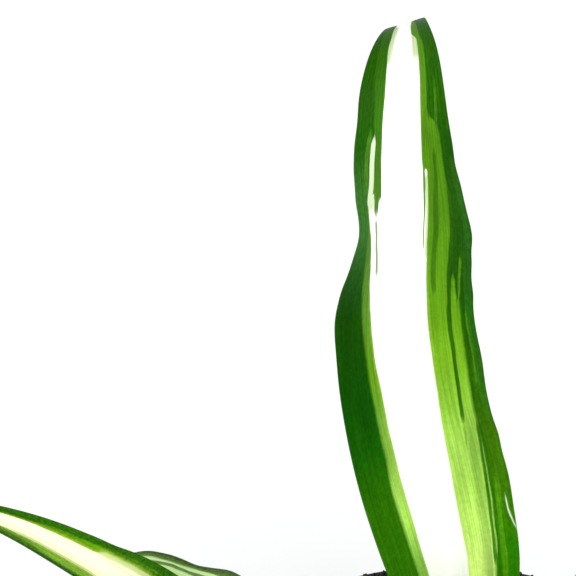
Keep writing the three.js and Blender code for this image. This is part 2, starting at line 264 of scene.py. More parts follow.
def skin(rings, start_pole, end_pole):
    """Points and faces of a tube of rings, an array of ring by step by xyz, closed at each end by a
    point."""
    count, around = rings.shape[:2]
    points = np.concatenate([rings.reshape(-1, 3), [start_pole, end_pole]])
    last = count * around
    faces = [quads_between(count, around)]
    faces += [fan(0, around, last, False), fan((count - 1) * around, around, last + 1, True)]
    return points, faces


print("a skin of 3 rings of 8 points has", len(quads_between(3, 8)), "quads between its rings")

# %% [markdown]
# A piece becomes a mesh object that rides on the plant's one body. Where it stands for a solid,
# the frame's part for that solid is hidden. Faces have to point outwards, and the signed volume
# tells: it is negative when a skin is inside out, and then every face is turned over.

# %% Pieces
def signed_volume(points, faces):
    """A sixth of the sum over triangles of first . (second x third); positive if faces point outwards."""
    total = 0.0
    for group in faces:
        for k in range(1, group.shape[1] - 1):
            a, b, c = points[group[:, 0]], points[group[:, k]], points[group[:, k + 1]]
            total += np.einsum("ij,ij->", a, np.cross(b, c)) / 6
    return total


def make_piece(name, points, faces, finish, slot, node=None, sharp=None):
    """A mesh object from points in millimetres and groups of faces, with edges sharper than sharp
    degrees kept crisp."""
    if signed_volume(points, faces) < 0:
        faces = [group[:, ::-1] for group in faces]
    mesh = bpy.data.meshes.new(name)
    mesh.from_pydata((points * MM).tolist(), [], [face for group in faces for face in group.tolist()])
    mesh.materials.append(finish)
    mesh.shade_smooth()
    if sharp is not None:
        mesh.set_sharp_from_angle(angle=math.radians(sharp))
    piece = put_in_scene(name, mesh)
    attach(piece, "root")
    if node:
        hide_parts(node)
    triangles = sum(len(group) * (group.shape[1] - 2) for group in faces)
    print(name, "has", triangles, "triangles")
    return piece


cube = np.array([(x, y, z) for x in (0, 1) for y in (0, 1) for z in (0, 1)], float)
cube_faces = [np.array([(0, 1, 3, 2), (4, 6, 7, 5), (0, 4, 5, 1), (2, 3, 7, 6), (0, 2, 6, 4), (1, 5, 7, 3)])]
print("a unit cube measures", round(signed_volume(cube, cube_faces), 6))

# %% [markdown]
# The pot is a small injection-moulded nursery pot: a thin wall that widens evenly, a stepped
# collar that lets pots stack, a rolled lip, and a raised foot with drain holes in a recessed
# floor. Its two driving sizes come from the frame's own pot, and the rest are usual for such pots.

# %% Pot sizes
pot_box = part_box("pot")
RIM_RADIUS = pot_box[1].x / MM
RIM_RISE = 0.25  # the finished rim is moulded a hair taller than the plain pot of the shape model
POT_HEIGHT = pot_box[1].z / MM + RIM_RISE
FOOT_RADIUS = 28.5
WALL = 1.3
COLLAR_HEIGHT = 12
COLLAR_STEP = 1.6
COLLAR_TAPER = 0.6
LIP_HEIGHT = 2.4
LIP_WIDTH = 1.2
EDGE = 0.5
FOOT_EDGE = 0.8
BASE_THICKNESS = 1.6
RECESS = 1.5
CENTRE_PAD_RADIUS = 11
FOOT_RING_WIDTH = 5
SHOULDER_RADIUS = RIM_RADIUS - LIP_WIDTH - COLLAR_TAPER - COLLAR_STEP
SHOULDER_HEIGHT = POT_HEIGHT - COLLAR_HEIGHT
INNER_FLOOR = RECESS + BASE_THICKNESS
print("pot:", round(RIM_RADIUS * 2), "mm across the rim and", round(POT_HEIGHT), "mm tall")

# %% [markdown]
# The pot could be made with the Spin tool or a Screw modifier, but as a surface of revolution it
# is only a profile times a circle. Each corner of the profile becomes a short curve, because
# moulded plastic has no knife edges, and those small curves are what catches the light.

# %% Pot profile
def wall_radius(height):
    """The outer wall widens evenly from the foot to the shoulder under the collar."""
    return FOOT_RADIUS + (SHOULDER_RADIUS - FOOT_RADIUS) * height / SHOULDER_HEIGHT


def pot_profile():
    """Corners as radius and height: up the outside, over the lip and down the inside."""
    collar = SHOULDER_RADIUS + COLLAR_STEP
    under_lip = RIM_RADIUS - LIP_WIDTH
    ring_inner = FOOT_RADIUS - FOOT_RING_WIDTH
    floor_radius = wall_radius(INNER_FLOOR) - WALL
    lip_bottom = POT_HEIGHT - LIP_HEIGHT
    underside = [(0, 0), (CENTRE_PAD_RADIUS, 0), (CENTRE_PAD_RADIUS + EDGE, RECESS),
                 (ring_inner - EDGE, RECESS), (ring_inner, 0), (FOOT_RADIUS - FOOT_EDGE, 0)]
    outside = [(wall_radius(FOOT_EDGE), FOOT_EDGE), (SHOULDER_RADIUS, SHOULDER_HEIGHT),
               (collar, SHOULDER_HEIGHT + EDGE), (under_lip, lip_bottom - EDGE)]
    lip = [(RIM_RADIUS - EDGE, lip_bottom), (RIM_RADIUS, lip_bottom + EDGE),
           (RIM_RADIUS, POT_HEIGHT - EDGE), (RIM_RADIUS - EDGE, POT_HEIGHT),
           (under_lip - WALL + EDGE, POT_HEIGHT), (under_lip - WALL, POT_HEIGHT - EDGE)]
    inside = [(collar - WALL, SHOULDER_HEIGHT + WALL), (SHOULDER_RADIUS - WALL, SHOULDER_HEIGHT - EDGE),
              (floor_radius, INNER_FLOOR + FOOT_EDGE), (floor_radius - FOOT_EDGE, INNER_FLOOR),
              (0, INNER_FLOOR)]
    return np.array(underside + outside + lip + inside, float)


print("the pot's profile has", len(pot_profile()), "corners")

# %% [markdown]
# A corner is rounded by a curve that leaves one edge, bends towards the corner and meets the next
# edge. Its formula is quadratic, with the corner as the one handle, and numpy rounds all corners
# at once. The first and the last corner lie on the pot's axis, where there is nothing to round,
# so they stay.

# %% Pot body
CORNER_REACH = 0.42
CORNER_STEPS = 6
HALF_EDGE = 0.48
POT_STEPS = 160


def rounded(corners):
    """Every corner between the ends becomes (1-s)^2 before + 2s(1-s) corner + s^2 after, where before
    and after lie on its two edges, the corner reach away or just under half an edge."""
    back = np.roll(corners, 1, 0) - corners
    ahead = np.roll(corners, -1, 0) - corners
    back_length = np.linalg.norm(back, axis=1, keepdims=True)
    ahead_length = np.linalg.norm(ahead, axis=1, keepdims=True)
    before = corners + back / back_length * np.minimum(CORNER_REACH, HALF_EDGE * back_length)
    after = corners + ahead / ahead_length * np.minimum(CORNER_REACH, HALF_EDGE * ahead_length)
    s = np.linspace(0, 1, CORNER_STEPS)[None, :, None]
    bent = (1 - s) ** 2 * before[:, None] + 2 * s * (1 - s) * corners[:, None] + s ** 2 * after[:, None]
    return np.concatenate([corners[:1], bent[1:-1].reshape(-1, 2), corners[-1:]])


def turned(profile, steps):
    """Rings of a surface of revolution: radius times a circle, at each height of the profile."""
    angle = np.linspace(0, 2 * np.pi, steps, endpoint=False)
    circle = np.stack([np.cos(angle), np.sin(angle)], -1)
    flat = profile[:, 0, None, None] * circle[None]
    height = np.broadcast_to(profile[:, 1, None, None], (*flat.shape[:2], 1))
    return np.concatenate([flat, height], -1)


pot_outline = rounded(pot_profile())
pot_rings = turned(pot_outline[1:-1], POT_STEPS)
pot_skin = skin(pot_rings, (0, 0, pot_outline[0, 1]), (0, 0, pot_outline[-1, 1]))
print("pot outline:", len(pot_outline), "points round each of", POT_STEPS, "steps")

# %% [markdown]
# Black nursery plastic is not black: it is a very dark blue-grey with a soft shine. Years of
# handling leave pale rubbed patches that scatter the light, and watering leaves brown dust on the
# inside of the wall above the soil. Patterns here read Object coordinates, which are metres on
# the real pot, so a scale of 300 makes patches about three millimetres wide.

# %% Pot plastic
PLASTIC = seen(9, 19, 16)
RUBBED_PLASTIC = seen(24, 35, 31)
STREAKED_PLASTIC = seen(40, 50, 49)
WALL_DUST = seen(92, 74, 56)
DUST_LINE = 57
DUST_WAVER = 14
DUST_FADE = 5
DUST_SHARE = 0.55


def object_place(tree):
    """The place that is painted, in Object coordinates."""
    return tree.nodes.new("ShaderNodeTexCoord").outputs["Object"]


def outwardness(tree, place):
    """How far a face of the pot looks away from its axis: negative on the inside of the wall."""
    geometry = tree.nodes.new("ShaderNodeNewGeometry")
    facing = tree.nodes.new("ShaderNodeVectorMath")
    facing.operation = "DOT_PRODUCT"
    tree.links.new(place, facing.inputs[0])
    tree.links.new(geometry.outputs["Normal"], facing.inputs[1])
    return facing.outputs["Value"]


def plastic_finish():
    """Dark semi-gloss plastic with rubbed patches, a fine satin grain and dust inside the wall."""
    material, tree, surface = new_finish("pot_plastic", 0.45, 0.10)
    place = object_place(tree)
    rubbed = ease(tree, noise(tree, place, 130, 6), 0.5, 0.72)
    streaks = ease(tree, noise(tree, place, 90, 4, (1, 1, 14)), 0.42, 0.7)
    plastic = blend(tree, sums(tree, "MULTIPLY", rubbed, 0.5), PLASTIC, RUBBED_PLASTIC)
    plastic = blend(tree, sums(tree, "MULTIPLY", streaks, 0.25), plastic, STREAKED_PLASTIC)

    axes = tree.nodes.new("ShaderNodeSeparateXYZ")
    tree.links.new(place, axes.inputs[0])
    facing = outwardness(tree, place)
    waver = sums(tree, "MULTIPLY", noise(tree, place, 170, 5), DUST_WAVER * MM)
    dust_top = sums(tree, "ADD", waver, DUST_LINE * MM)
    low = ease(tree, axes.outputs["Z"], dust_top, sums(tree, "ADD", dust_top, DUST_FADE * MM), 1, 0)
    inner = ease(tree, facing, -6 * MM, 14 * MM, 1, 0)
    dust = sums(tree, "MULTIPLY", sums(tree, "MULTIPLY", low, inner), DUST_SHARE)
    tree.links.new(blend(tree, dust, plastic, WALL_DUST), surface.inputs["Base Color"])
    tree.links.new(ease(tree, rubbed, 0, 1, 0.42, 0.54), surface.inputs["Roughness"])
    relief(tree, surface, noise(tree, place, 2600, 2), 0.03, 0.35)
    return material


pot = make_piece("nursery_pot", *pot_skin, plastic_finish(), "pot", "pot")

# %% [markdown]
# Water leaves the real pot through round holes that the mould punches in its floor, between the
# foot ring and the middle pad. A Boolean modifier does the same with six short drills, joined
# into one mesh, so it has to be worked out only once. Then the result is kept and the drills go.

# %% Drain holes
DRAIN_COUNT = 6
DRAIN_RADIUS = 3.2
DRAIN_STEPS = 40
CRISP_ANGLE = 50


def joined(skins):
    """Several skins as one, each one's faces counting on from the points before it."""
    points, faces, first = [], [], 0
    for more_points, more_faces in skins:
        points.append(more_points)
        faces += [group + first for group in more_faces]
        first += len(more_points)
    return np.concatenate(points), faces


def drill_holes(piece, drills):
    """Cuts closed shapes out of a piece with a Boolean modifier, and keeps the result as its mesh."""
    cut = piece.modifiers.new("holes", "BOOLEAN")
    cut.operation = "DIFFERENCE"
    cut.object = drills
    bpy.context.view_layer.update()
    evaluated = piece.evaluated_get(bpy.context.evaluated_depsgraph_get())
    drilled = bpy.data.meshes.new_from_object(evaluated)
    piece.modifiers.clear()
    piece.data = drilled
    bpy.data.objects.remove(drills)


drill_ends = np.array([(DRAIN_RADIUS, -BASE_THICKNESS), (DRAIN_RADIUS, INNER_FLOOR + BASE_THICKNESS)])
drill_rings = turned(drill_ends, DRAIN_STEPS)
drill_points, drill_faces = skin(drill_rings, (0, 0, drill_ends[0, 1]), (0, 0, drill_ends[1, 1]))
drain_ring = (CENTRE_PAD_RADIUS + FOOT_RADIUS - FOOT_RING_WIDTH) / 2
turns = [2 * math.pi * k / DRAIN_COUNT for k in range(DRAIN_COUNT)]
centres = [drain_ring * np.array([math.cos(turn), math.sin(turn), 0]) for turn in turns]
drill_skin = joined([(drill_points + centre, drill_faces) for centre in centres])
drill_holes(pot, make_piece("drills", *drill_skin, pot.data.materials[0], "pot"))
pot.data.shade_smooth()
pot.data.set_sharp_from_angle(angle=math.radians(CRISP_ANGLE))
print("pot is drilled and has", len(pot.data.polygons), "faces")

# %% [markdown]
# Potting soil is crumbs: dark peat, splinters of composted bark and white grains of perlite. The
# body of the soil is one skin, with the low clods of the solid underneath and many small waves
# in random directions on top. A Displace modifier could do the same, but a formula for the height
# also tells each loose crumb how high the ground is under it.

# %% Soil relief
SOIL_SLACK = 0.45
SOIL_LEVEL = 60
SOIL_EDGE = 57.8
SOIL_SWELL = 0.8
SOIL_BUMP = 1.1
HOLE_RADIUS = 14.1
SOIL_INSET = WALL + SOIL_SLACK
SOIL_RADIUS = wall_radius(SOIL_EDGE) - SOIL_INSET
SMALL_WAVES = 48
SMALL_WAVE_HEIGHT = 0.16
soil_draw = np.random.default_rng(7)
wave_length = soil_draw.uniform(1.2, 5.0, SMALL_WAVES)
wave_heading = soil_draw.uniform(0, 2 * np.pi, SMALL_WAVES)
wave_start = soil_draw.uniform(0, 2 * np.pi, SMALL_WAVES)


def clods(x, y):
    """The solid's own relief: two products of crossed waves, between about -1 and 1."""
    coarse = np.sin(0.31 * x + 1.3) * np.sin(0.27 * y + 0.4)
    middle = np.sin(0.62 * x - 0.35 * y + 2.1) * np.cos(0.55 * y + 0.2 * x)
    return 0.55 * coarse + 0.45 * middle


def crumbling(x, y):
    """Fine relief: the sum of small plane waves, each with its own length, heading and start."""
    onwards = x[..., None] * np.cos(wave_heading) + y[..., None] * np.sin(wave_heading)
    waves = np.sin(2 * np.pi * onwards / wave_length + wave_start) * wave_length
    return waves.sum(-1) / wave_length.mean() / math.sqrt(SMALL_WAVES)


def soil_height(x, y):
    """Height of the soil at a place: level, plus a swell halfway between pot and plant, plus relief."""
    radius = np.hypot(x, y)
    share = np.clip((SOIL_RADIUS - EDGE - radius) / (SOIL_RADIUS - EDGE - HOLE_RADIUS), 0, 1)
    swell = np.sin(np.pi * share)
    bumps = (0.5 + 0.5 * swell) * SOIL_BUMP * clods(x, y)
    return SOIL_LEVEL + SOIL_SWELL * swell + bumps + SMALL_WAVE_HEIGHT * crumbling(x, y)


print("small waves are", round(wave_length.min(), 1), "to", round(wave_length.max(), 1), "mm long")

# %% [markdown]
# The soil's skin starts as a point under the middle, goes out along the pot's floor, up the wall,
# back in over the crumbly top and down into the hole that holds the crown.

# %% Soil body
HOLE_FLOOR = 24
SOIL_FLOOR = INNER_FLOOR + 0.3
SOIL_RINGS = 84
SOIL_STEPS = 300

angle = np.linspace(0, 2 * np.pi, SOIL_STEPS, endpoint=False)
top_radius = np.linspace(SOIL_RADIUS - EDGE, HOLE_RADIUS, SOIL_RINGS)[:, None]
top_x, top_y = top_radius * np.cos(angle), top_radius * np.sin(angle)
soil_top = np.stack([top_x, top_y, soil_height(top_x, top_y)], -1)
soil_side = turned(np.array([
    (wall_radius(SOIL_FLOOR) - SOIL_INSET - FOOT_EDGE, SOIL_FLOOR),
    (wall_radius(SOIL_FLOOR + FOOT_EDGE) - SOIL_INSET, SOIL_FLOOR + FOOT_EDGE),
    (SOIL_RADIUS, SOIL_EDGE)]), SOIL_STEPS)
soil_hole = turned(np.array([(HOLE_RADIUS, HOLE_FLOOR)]), SOIL_STEPS)
soil_rings = np.concatenate([soil_side, soil_top, soil_hole])
soil_skin = skin(soil_rings, (0, 0, SOIL_FLOOR), (0, 0, HOLE_FLOOR))
print("soil top between", round(soil_top[..., 2].min(), 1), "and", round(soil_top[..., 2].max(), 1), "mm")

# %% [markdown]
# Each stuff in the mix has its own finish. Peat is dark, dull and mottled at two sizes, bark is
# reddish and streaked along its grain, and perlite is a white glass foam, pitted and a little
# stained. All three are two or three noises that choose between colours, and a strong relief.

# %% Soil finishes
MOIST_PEAT = (seen(34, 23, 17), seen(74, 53, 38), seen(104, 80, 58))
OLD_BARK = (seen(66, 40, 26), seen(118, 80, 52), seen(150, 116, 82))
WHITE_PERLITE = (seen(236, 234, 226), seen(176, 160, 138))


def peat_finish():
    """Moist peat: dark brown, mottled at the size of a crumb and again at the size of a fibre."""
    material, tree, surface = new_finish("peat", 0.88, 0.22)
    place = object_place(tree)
    coarse = ease(tree, noise(tree, place, 420, 6), 0.36, 0.66)
    fine = ease(tree, noise(tree, place, 2200, 4), 0.35, 0.68)
    dark, brown, pale = MOIST_PEAT
    colour = blend(tree, coarse, dark, brown)
    colour = blend(tree, sums(tree, "MULTIPLY", fine, 0.45), colour, pale)
    tree.links.new(colour, surface.inputs["Base Color"])
    relief(tree, surface, noise(tree, place, 1500, 6), 0.5, 0.8)
    return material


def bark_finish():
    """Composted bark: reddish brown, streaked, drier and paler on some faces."""
    material, tree, surface = new_finish("bark", 0.82, 0.2)
    place = object_place(tree)
    grain = ease(tree, noise(tree, place, 700, 5, (1, 3, 1)), 0.35, 0.65)
    patches = ease(tree, noise(tree, place, 160, 2), 0.4, 0.62)
    dark, brown, dry = OLD_BARK
    colour = blend(tree, grain, dark, brown)
    colour = blend(tree, sums(tree, "MULTIPLY", patches, 0.4), colour, dry)
    tree.links.new(colour, surface.inputs["Base Color"])
    relief(tree, surface, grain, 0.2, 0.6)
    return material


def perlite_finish():
    """Perlite: white volcanic glass foam, full of pits and a little stained by the peat."""
    material, tree, surface = new_finish("perlite", 0.75, 0.3)
    place = object_place(tree)
    stain = ease(tree, noise(tree, place, 380, 3), 0.48, 0.7)
    colour = blend(tree, sums(tree, "MULTIPLY", stain, 0.6), *WHITE_PERLITE)
    tree.links.new(colour, surface.inputs["Base Color"])
    relief(tree, surface, noise(tree, place, 2400, 3), 0.25, 0.9)
    return material


peat = peat_finish()
make_piece("potting_soil", *soil_skin, peat, "soil", "soil", sharp=60)

# %% [markdown]
# Loose crumbs lie on the soil and, after watering, on the pot's rim. A particle system could
# scatter them, but one formula for all copies at once leaves a plain mesh. A unit lump of twelve
# points is pushed about by a few random shares of its size, stretched, turned by a random
# rotation and set down at a random place, so its array has copy by point by xyz. The rotation
# comes from four normal numbers read as a quaternion. A crumb is seen a few pixels wide, so
# twenty faces are plenty. The draw is seeded, so the soil is the same soil every time.

# %% Scattering
def unit_lump():
    """Twelve points and twenty triangles of an icosahedron, the plainest round lump."""
    ball = bmesh.new()
    bmesh.ops.create_icosphere(ball, subdivisions=1, radius=1)
    points = np.array([vertex.co for vertex in ball.verts])
    faces = np.array([[vertex.index for vertex in face.verts] for face in ball.faces])
    ball.free()
    return points, faces


def random_turns(draw, count):
    """Rotation matrices from unit quaternions w, x, y, z."""
    w, x, y, z = unit(draw.normal(size=(count, 4))).T
    rows = [[1 - 2 * (y * y + z * z), 2 * (x * y - z * w), 2 * (x * z + y * w)],
            [2 * (x * y + z * w), 1 - 2 * (x * x + z * z), 2 * (y * z - x * w)],
            [2 * (x * z - y * w), 2 * (y * z + x * w), 1 - 2 * (x * x + y * y)]]
    return np.moveaxis(np.array(rows), -1, 0)


def scattered(draw, count, span, reach, shape, ragged, sunk, ground=soil_height):
    """Lumps on the ground between the two radii of span, evenly by area: reach is the range of their
    half lengths, with more short ones than long, and sunk the share of the height below the ground."""
    lump, faces = unit_lump()
    radius = np.sqrt(draw.uniform(span[0] ** 2, span[1] ** 2, count))
    heading = draw.uniform(0, 2 * np.pi, count)
    length = draw.uniform(reach[1] ** -1.5, reach[0] ** -1.5, count) ** (-1 / 1.5)
    lumps = lump * (1 + ragged * draw.normal(size=(count, len(lump), 1))) * shape
    lumps = np.einsum("kij,kpj->kpi", random_turns(draw, count), lumps * length[:, None, None])
    x, y = radius * np.cos(heading), radius * np.sin(heading)
    half_height = (lumps[..., 2].max(1) - lumps[..., 2].min(1)) / 2
    z = ground(x, y) + half_height * (1 - 2 * sunk)
    points = (lumps + np.stack([x, y, z], -1)[:, None]).reshape(-1, 3)
    numbers = np.arange(count)[:, None, None] * len(lump) + faces
    return points, [numbers.reshape(-1, 3)]


print("a lump has", len(unit_lump()[0]), "points")

# %% [markdown]
# The mix is scattered one kind after another, each with its count, the two radii between which it
# lies, its half lengths, its shape, how ragged it is and how deep it sits. Small crumbs collect
# along the wall, and a few lie on top of the rim.

# %% Loose crumbs
crumb_draw = np.random.default_rng(21)
peat_crumbs = scattered(crumb_draw, 2300, span=(HOLE_RADIUS + 1.0, SOIL_RADIUS - 0.6), reach=(0.35, 1.3),
                        shape=(1, 0.8, 0.65), ragged=0.13, sunk=0.45)
make_piece("peat_crumbs", *peat_crumbs, peat, "soil")
edge_crumbs = scattered(crumb_draw, 420, span=(SOIL_RADIUS - 1.0, SOIL_RADIUS - 0.1), reach=(0.3, 0.6),
                        shape=(1, 0.8, 0.7), ragged=0.12, sunk=0.8)
make_piece("edge_crumbs", *edge_crumbs, peat, "soil")
chips = scattered(crumb_draw, 120, span=(HOLE_RADIUS + 3.0, SOIL_RADIUS - 2.4), reach=(1.2, 2.4),
                  shape=(1, 0.5, 0.24), ragged=0.1, sunk=0.35)
make_piece("bark_chips", *chips, bark_finish(), "soil", sharp=20)
grains = scattered(crumb_draw, 170, span=(HOLE_RADIUS + 1.5, SOIL_RADIUS - 1.4), reach=(0.5, 1.25),
                   shape=(1, 0.9, 0.8), ragged=0.09, sunk=0.4)
make_piece("perlite_grains", *grains, perlite_finish(), "soil")
rim_draw = np.random.default_rng(5)
rim_crumbs = scattered(rim_draw, 300, span=(RIM_RADIUS - 2.1, RIM_RADIUS - 0.5), reach=(0.2, 0.6),
                       shape=(1, 0.8, 0.7), ragged=0.12, sunk=0.10, ground=lambda x, y: POT_HEIGHT + 0 * x)
make_piece("rim_crumbs", *rim_crumbs, peat, "soil")

# %% [markdown]
# Under the leaves sits the crown, a short thick stem plate. Leaves that were shed left narrow
# rings on it. It is a circle carried up the profile of a dome, with a radius that steps in a
# little at each scar.

# %% Stem plate
CROWN_RADIUS = 13.5
CROWN_CENTRE = 51.5
DOME_START = -20
DOME_END = 89
NECK_RADIUS = 7
NECK_HEIGHT = 4
ROOT_TOP = 48
CROWN_RINGS = 90
CROWN_STEPS = 120
SCAR_DEPTH = 0.42
SCAR_RATE = 11
RIB_DEPTH = 0.08
RIB_COUNT = 23
BARE_RADIUS = CROWN_RADIUS - 0.5


def crown_rings():
    """The neck, then the dome: angle from DOME_START to the top, with scars as small steps in the
    radius that wander a little up and down round the stem."""
    slope = np.radians(np.linspace(DOME_START, DOME_END, CROWN_RINGS))[:, None]
    angle = np.linspace(0, 2 * np.pi, CROWN_STEPS, endpoint=False)[None]
    wander = 0.35 * np.sin(3 * angle + 0.6) + 0.25 * np.sin(5 * angle + 2)
    scar = np.abs(np.sin(SCAR_RATE * slope + wander)) ** 0.6
    radius = BARE_RADIUS + SCAR_DEPTH * scar * np.cos(slope) + RIB_DEPTH * np.sin(RIB_COUNT * angle)
    dome = np.stack([
        radius * np.cos(slope) * np.cos(angle),
        radius * np.cos(slope) * np.sin(angle),
        CROWN_CENTRE + radius * np.sin(slope) + 0 * angle], -1)
    neck = turned(np.array([(NECK_RADIUS, ROOT_TOP - NECK_HEIGHT)]), CROWN_STEPS)
    return np.concatenate([neck, dome])


def crown_finish(name, flesh, shade, scale):
    """Pale living tissue with blotches of a darker tone, like old paper."""
    material, tree, surface = new_finish(name, 0.55, 0.25)
    place = object_place(tree)
    blotches = ease(tree, noise(tree, place, scale, 5, (1, 1, 4)), 0.4, 0.66)
    # shade is a darker tone of the tissue itself, laid in random blotches, not light.
    tree.links.new(blend(tree, blotches, flesh, shade), surface.inputs["Base Color"])
    relief(tree, surface, noise(tree, place, 1400, 3, (1, 1, 5)), 0.15, 0.5)
    return material


neck_bottom = ROOT_TOP - NECK_HEIGHT - EDGE
crown_skin = skin(crown_rings(), (0, 0, neck_bottom), (0, 0, CROWN_CENTRE + BARE_RADIUS))
stem_finish = crown_finish("stem_plate", seen(206, 208, 160), seen(150, 142, 92), 240)
make_piece("stem_plate", *crown_skin, stem_finish, "crown", "crown")

# %% [markdown]
# The plant stores water in thick white roots that grow down from the crown into the soil. A
# bevelled curve would give each one a round section, but not its wrinkles, so a root is a circle
# carried along a path, with a radius that swells and tapers.

# %% Storage roots
ROOT_LENGTH = 22
ROOT_RADIUS = 2.6
ROOT_SPREAD = 3.9
ROOT_SPLAY = 7
ROOT_COUNT = 6
ROOT_BEND = 0.35
WRINKLE_DEPTH = 0.03
WRINKLE_RATE = 28
THICKNESS_PLACES = [0, 0.05, 0.35, 0.6, 0.9, 1]
THICKNESS_SHARES = [0.5, 0.7, 1, 0.9, 0.35, 0.04]


def root_rings(k, rings=34, steps=18):
    """Circles along a root that splays outwards as it goes down, thickest a third of the way, with
    fine wrinkles round it and a slow bend. No two have quite the same heading and length."""
    heading = math.radians(360 * k / ROOT_COUNT + 14 * math.sin(2.4 * k))
    length = ROOT_LENGTH * (0.86 + 0.14 * math.cos(1.9 * k))
    share = np.linspace(0, 1, rings)[:, None]
    angle = np.linspace(0, 2 * np.pi, steps, endpoint=False)[None]
    swell = np.interp(share, THICKNESS_PLACES, THICKNESS_SHARES)
    radius = ROOT_RADIUS * swell * (1 - WRINKLE_DEPTH * np.abs(np.sin(WRINKLE_RATE * share)) * swell)
    out = ROOT_SPREAD + length * share * math.sin(math.radians(ROOT_SPLAY))
    aside = ROOT_BEND * np.sin(5 * share + k)
    x, y = out + radius * np.cos(angle), aside + radius * np.sin(angle)
    z = ROOT_TOP - EDGE - length * share * math.cos(math.radians(ROOT_SPLAY)) + 0 * angle
    return np.stack([
        x * math.cos(heading) - y * math.sin(heading),
        x * math.sin(heading) + y * math.cos(heading), z], -1)


all_roots = [root_rings(k) for k in range(ROOT_COUNT)]
root_skin = joined([skin(rings, rings[0].mean(0), rings[-1].mean(0)) for rings in all_roots])
root_finish = crown_finish("storage_root", seen(232, 224, 200), seen(190, 170, 130), 300)
make_piece("storage_roots", *root_skin, root_finish, "crown", "crown")

# %% [markdown]
# A leaf of this plant is a strap: narrow and fleshy where it leaves the crown, broadest near its
# middle, then tapering to a point, and folded along its midrib like a shallow gutter. It could be
# a plane bent by a curve modifier, but a leaf is easier to describe by how its slope changes from
# seat to tip. Each list below holds values at even steps along one leaf, joined by a smooth
# curve. They are the values that the solids were built from, so both have the same form. Lobes
# are small bulges and dents of a margin, each a side, a place, a spread and a height. The three
# leaves of this cell are the ones that the portrait shows.

# %% Leaves in the portrait
COMMON_OUTLINE = [0.32, 0.62, 0.9, 1, 0.97, 0.86, 0.68, 0.42, 0.05]
COMMON_FOLD = [52, 38, 27, 21, 17, 15, 13, 11, 10]


def leaf_plan(name, heading, length, width, pitch, lean, **more):
    """One leaf's numbers: heading of its midrib seen from above, slopes in degrees, sizes in
    millimetres, and a ripple of its halves in degrees, how many waves it has and its first angle."""
    return {"name": name, "heading": heading, "length": length, "width": width, "pitch": pitch,
            "lean": lean, "roll": [0, 0], "outline": COMMON_OUTLINE, "fold": COMMON_FOLD,
            "ripple": (0, 0, 0), "lobes": [], **more}


SHOWN_LEAVES = [
    leaf_plan("leaf_upright", 90, 156, 23.8, [77, 84, 85, 84, 83, 82, 79, 76, -16, -58, -70],
              [5, -4, -11, -13, -11, -3, 1, 2, 2, 2, 2], roll=[-4, -8, -8, -8, -8, -8, -8, 6, 14, 8, 0],
              outline=[0.32, 0.62, 0.99, 1.06, 1.01, 0.96, 0.84, 0.57, 0.29, 0.15, 0.04],
              fold_left=[52, 51, 42, 32, 26, 30, 47, 20, 0, 10, 20],
              fold_right=[52, 40, 27, 24, 22, 22, 22, 18, 6, 10, 20],
              lobes=[(1, 0.568, 0.030, 0.78), (1, 0.435, 0.03, 0.35), (1, 0.30, 0.03, 0.3),
                     (1, 0.78, 0.03, -0.4), (1, 0.645, 0.016, -0.25), (-1, 0.615, 0.017, 0.65),
                     (-1, 0.58, 0.012, -0.3), (-1, 0.502, 0.028, 0.55), (-1, 0.682, 0.018, -0.35),
                     (-1, 0.80, 0.05, -0.3), (1, 0.557, 0.011, -0.22), (1, 0.511, 0.012, 0.20),
                     (1, 0.348, 0.014, 0.22), (-1, 0.531, 0.013, 0.24), (-1, 0.640, 0.012, 0.20)]),
    leaf_plan("leaf_left", 179, 108, 14, [54, 42, 34, 33, 35, 31, 16, -12, -45], [0, -2, 6, 6],
              roll=[7, 7], outline=[0.34, 0.62, 0.82, 0.9, 1, 0.74, 0.36, 0.25, 0.05],
              lobes=[(1, 0.61, 0.09, -0.42), (1, 0.34, 0.07, -0.55), (-1, 0.67, 0.09, 0.35),
                     (1, 0.56, 0.022, -0.20)]),
    leaf_plan("leaf_back_left", 152, 110, 14, [42, 34, 13, -6, -5, -35, -58, -70, -74], [0, 8, 8, 8],
              roll=[-4, -4], lobes=[(1, 0.39, 0.028, 0.62), (1, 0.451, 0.019, -0.26),
                                    (1, 0.50, 0.018, 0.13), (1, 0.580, 0.026, -1.25)]),
]
print("the portrait shows", [leaf["name"] for leaf in SHOWN_LEAVES])

# %% [markdown]
# The other fifteen leaves arch out all round the crown: low ones from its edge, higher ones from
# nearer its middle, and two short young ones that still stand up. Their halves ripple a little,
# as this plant's leaves do, and each gets a few drawn lobes, because no real margin is a clean
# curve.

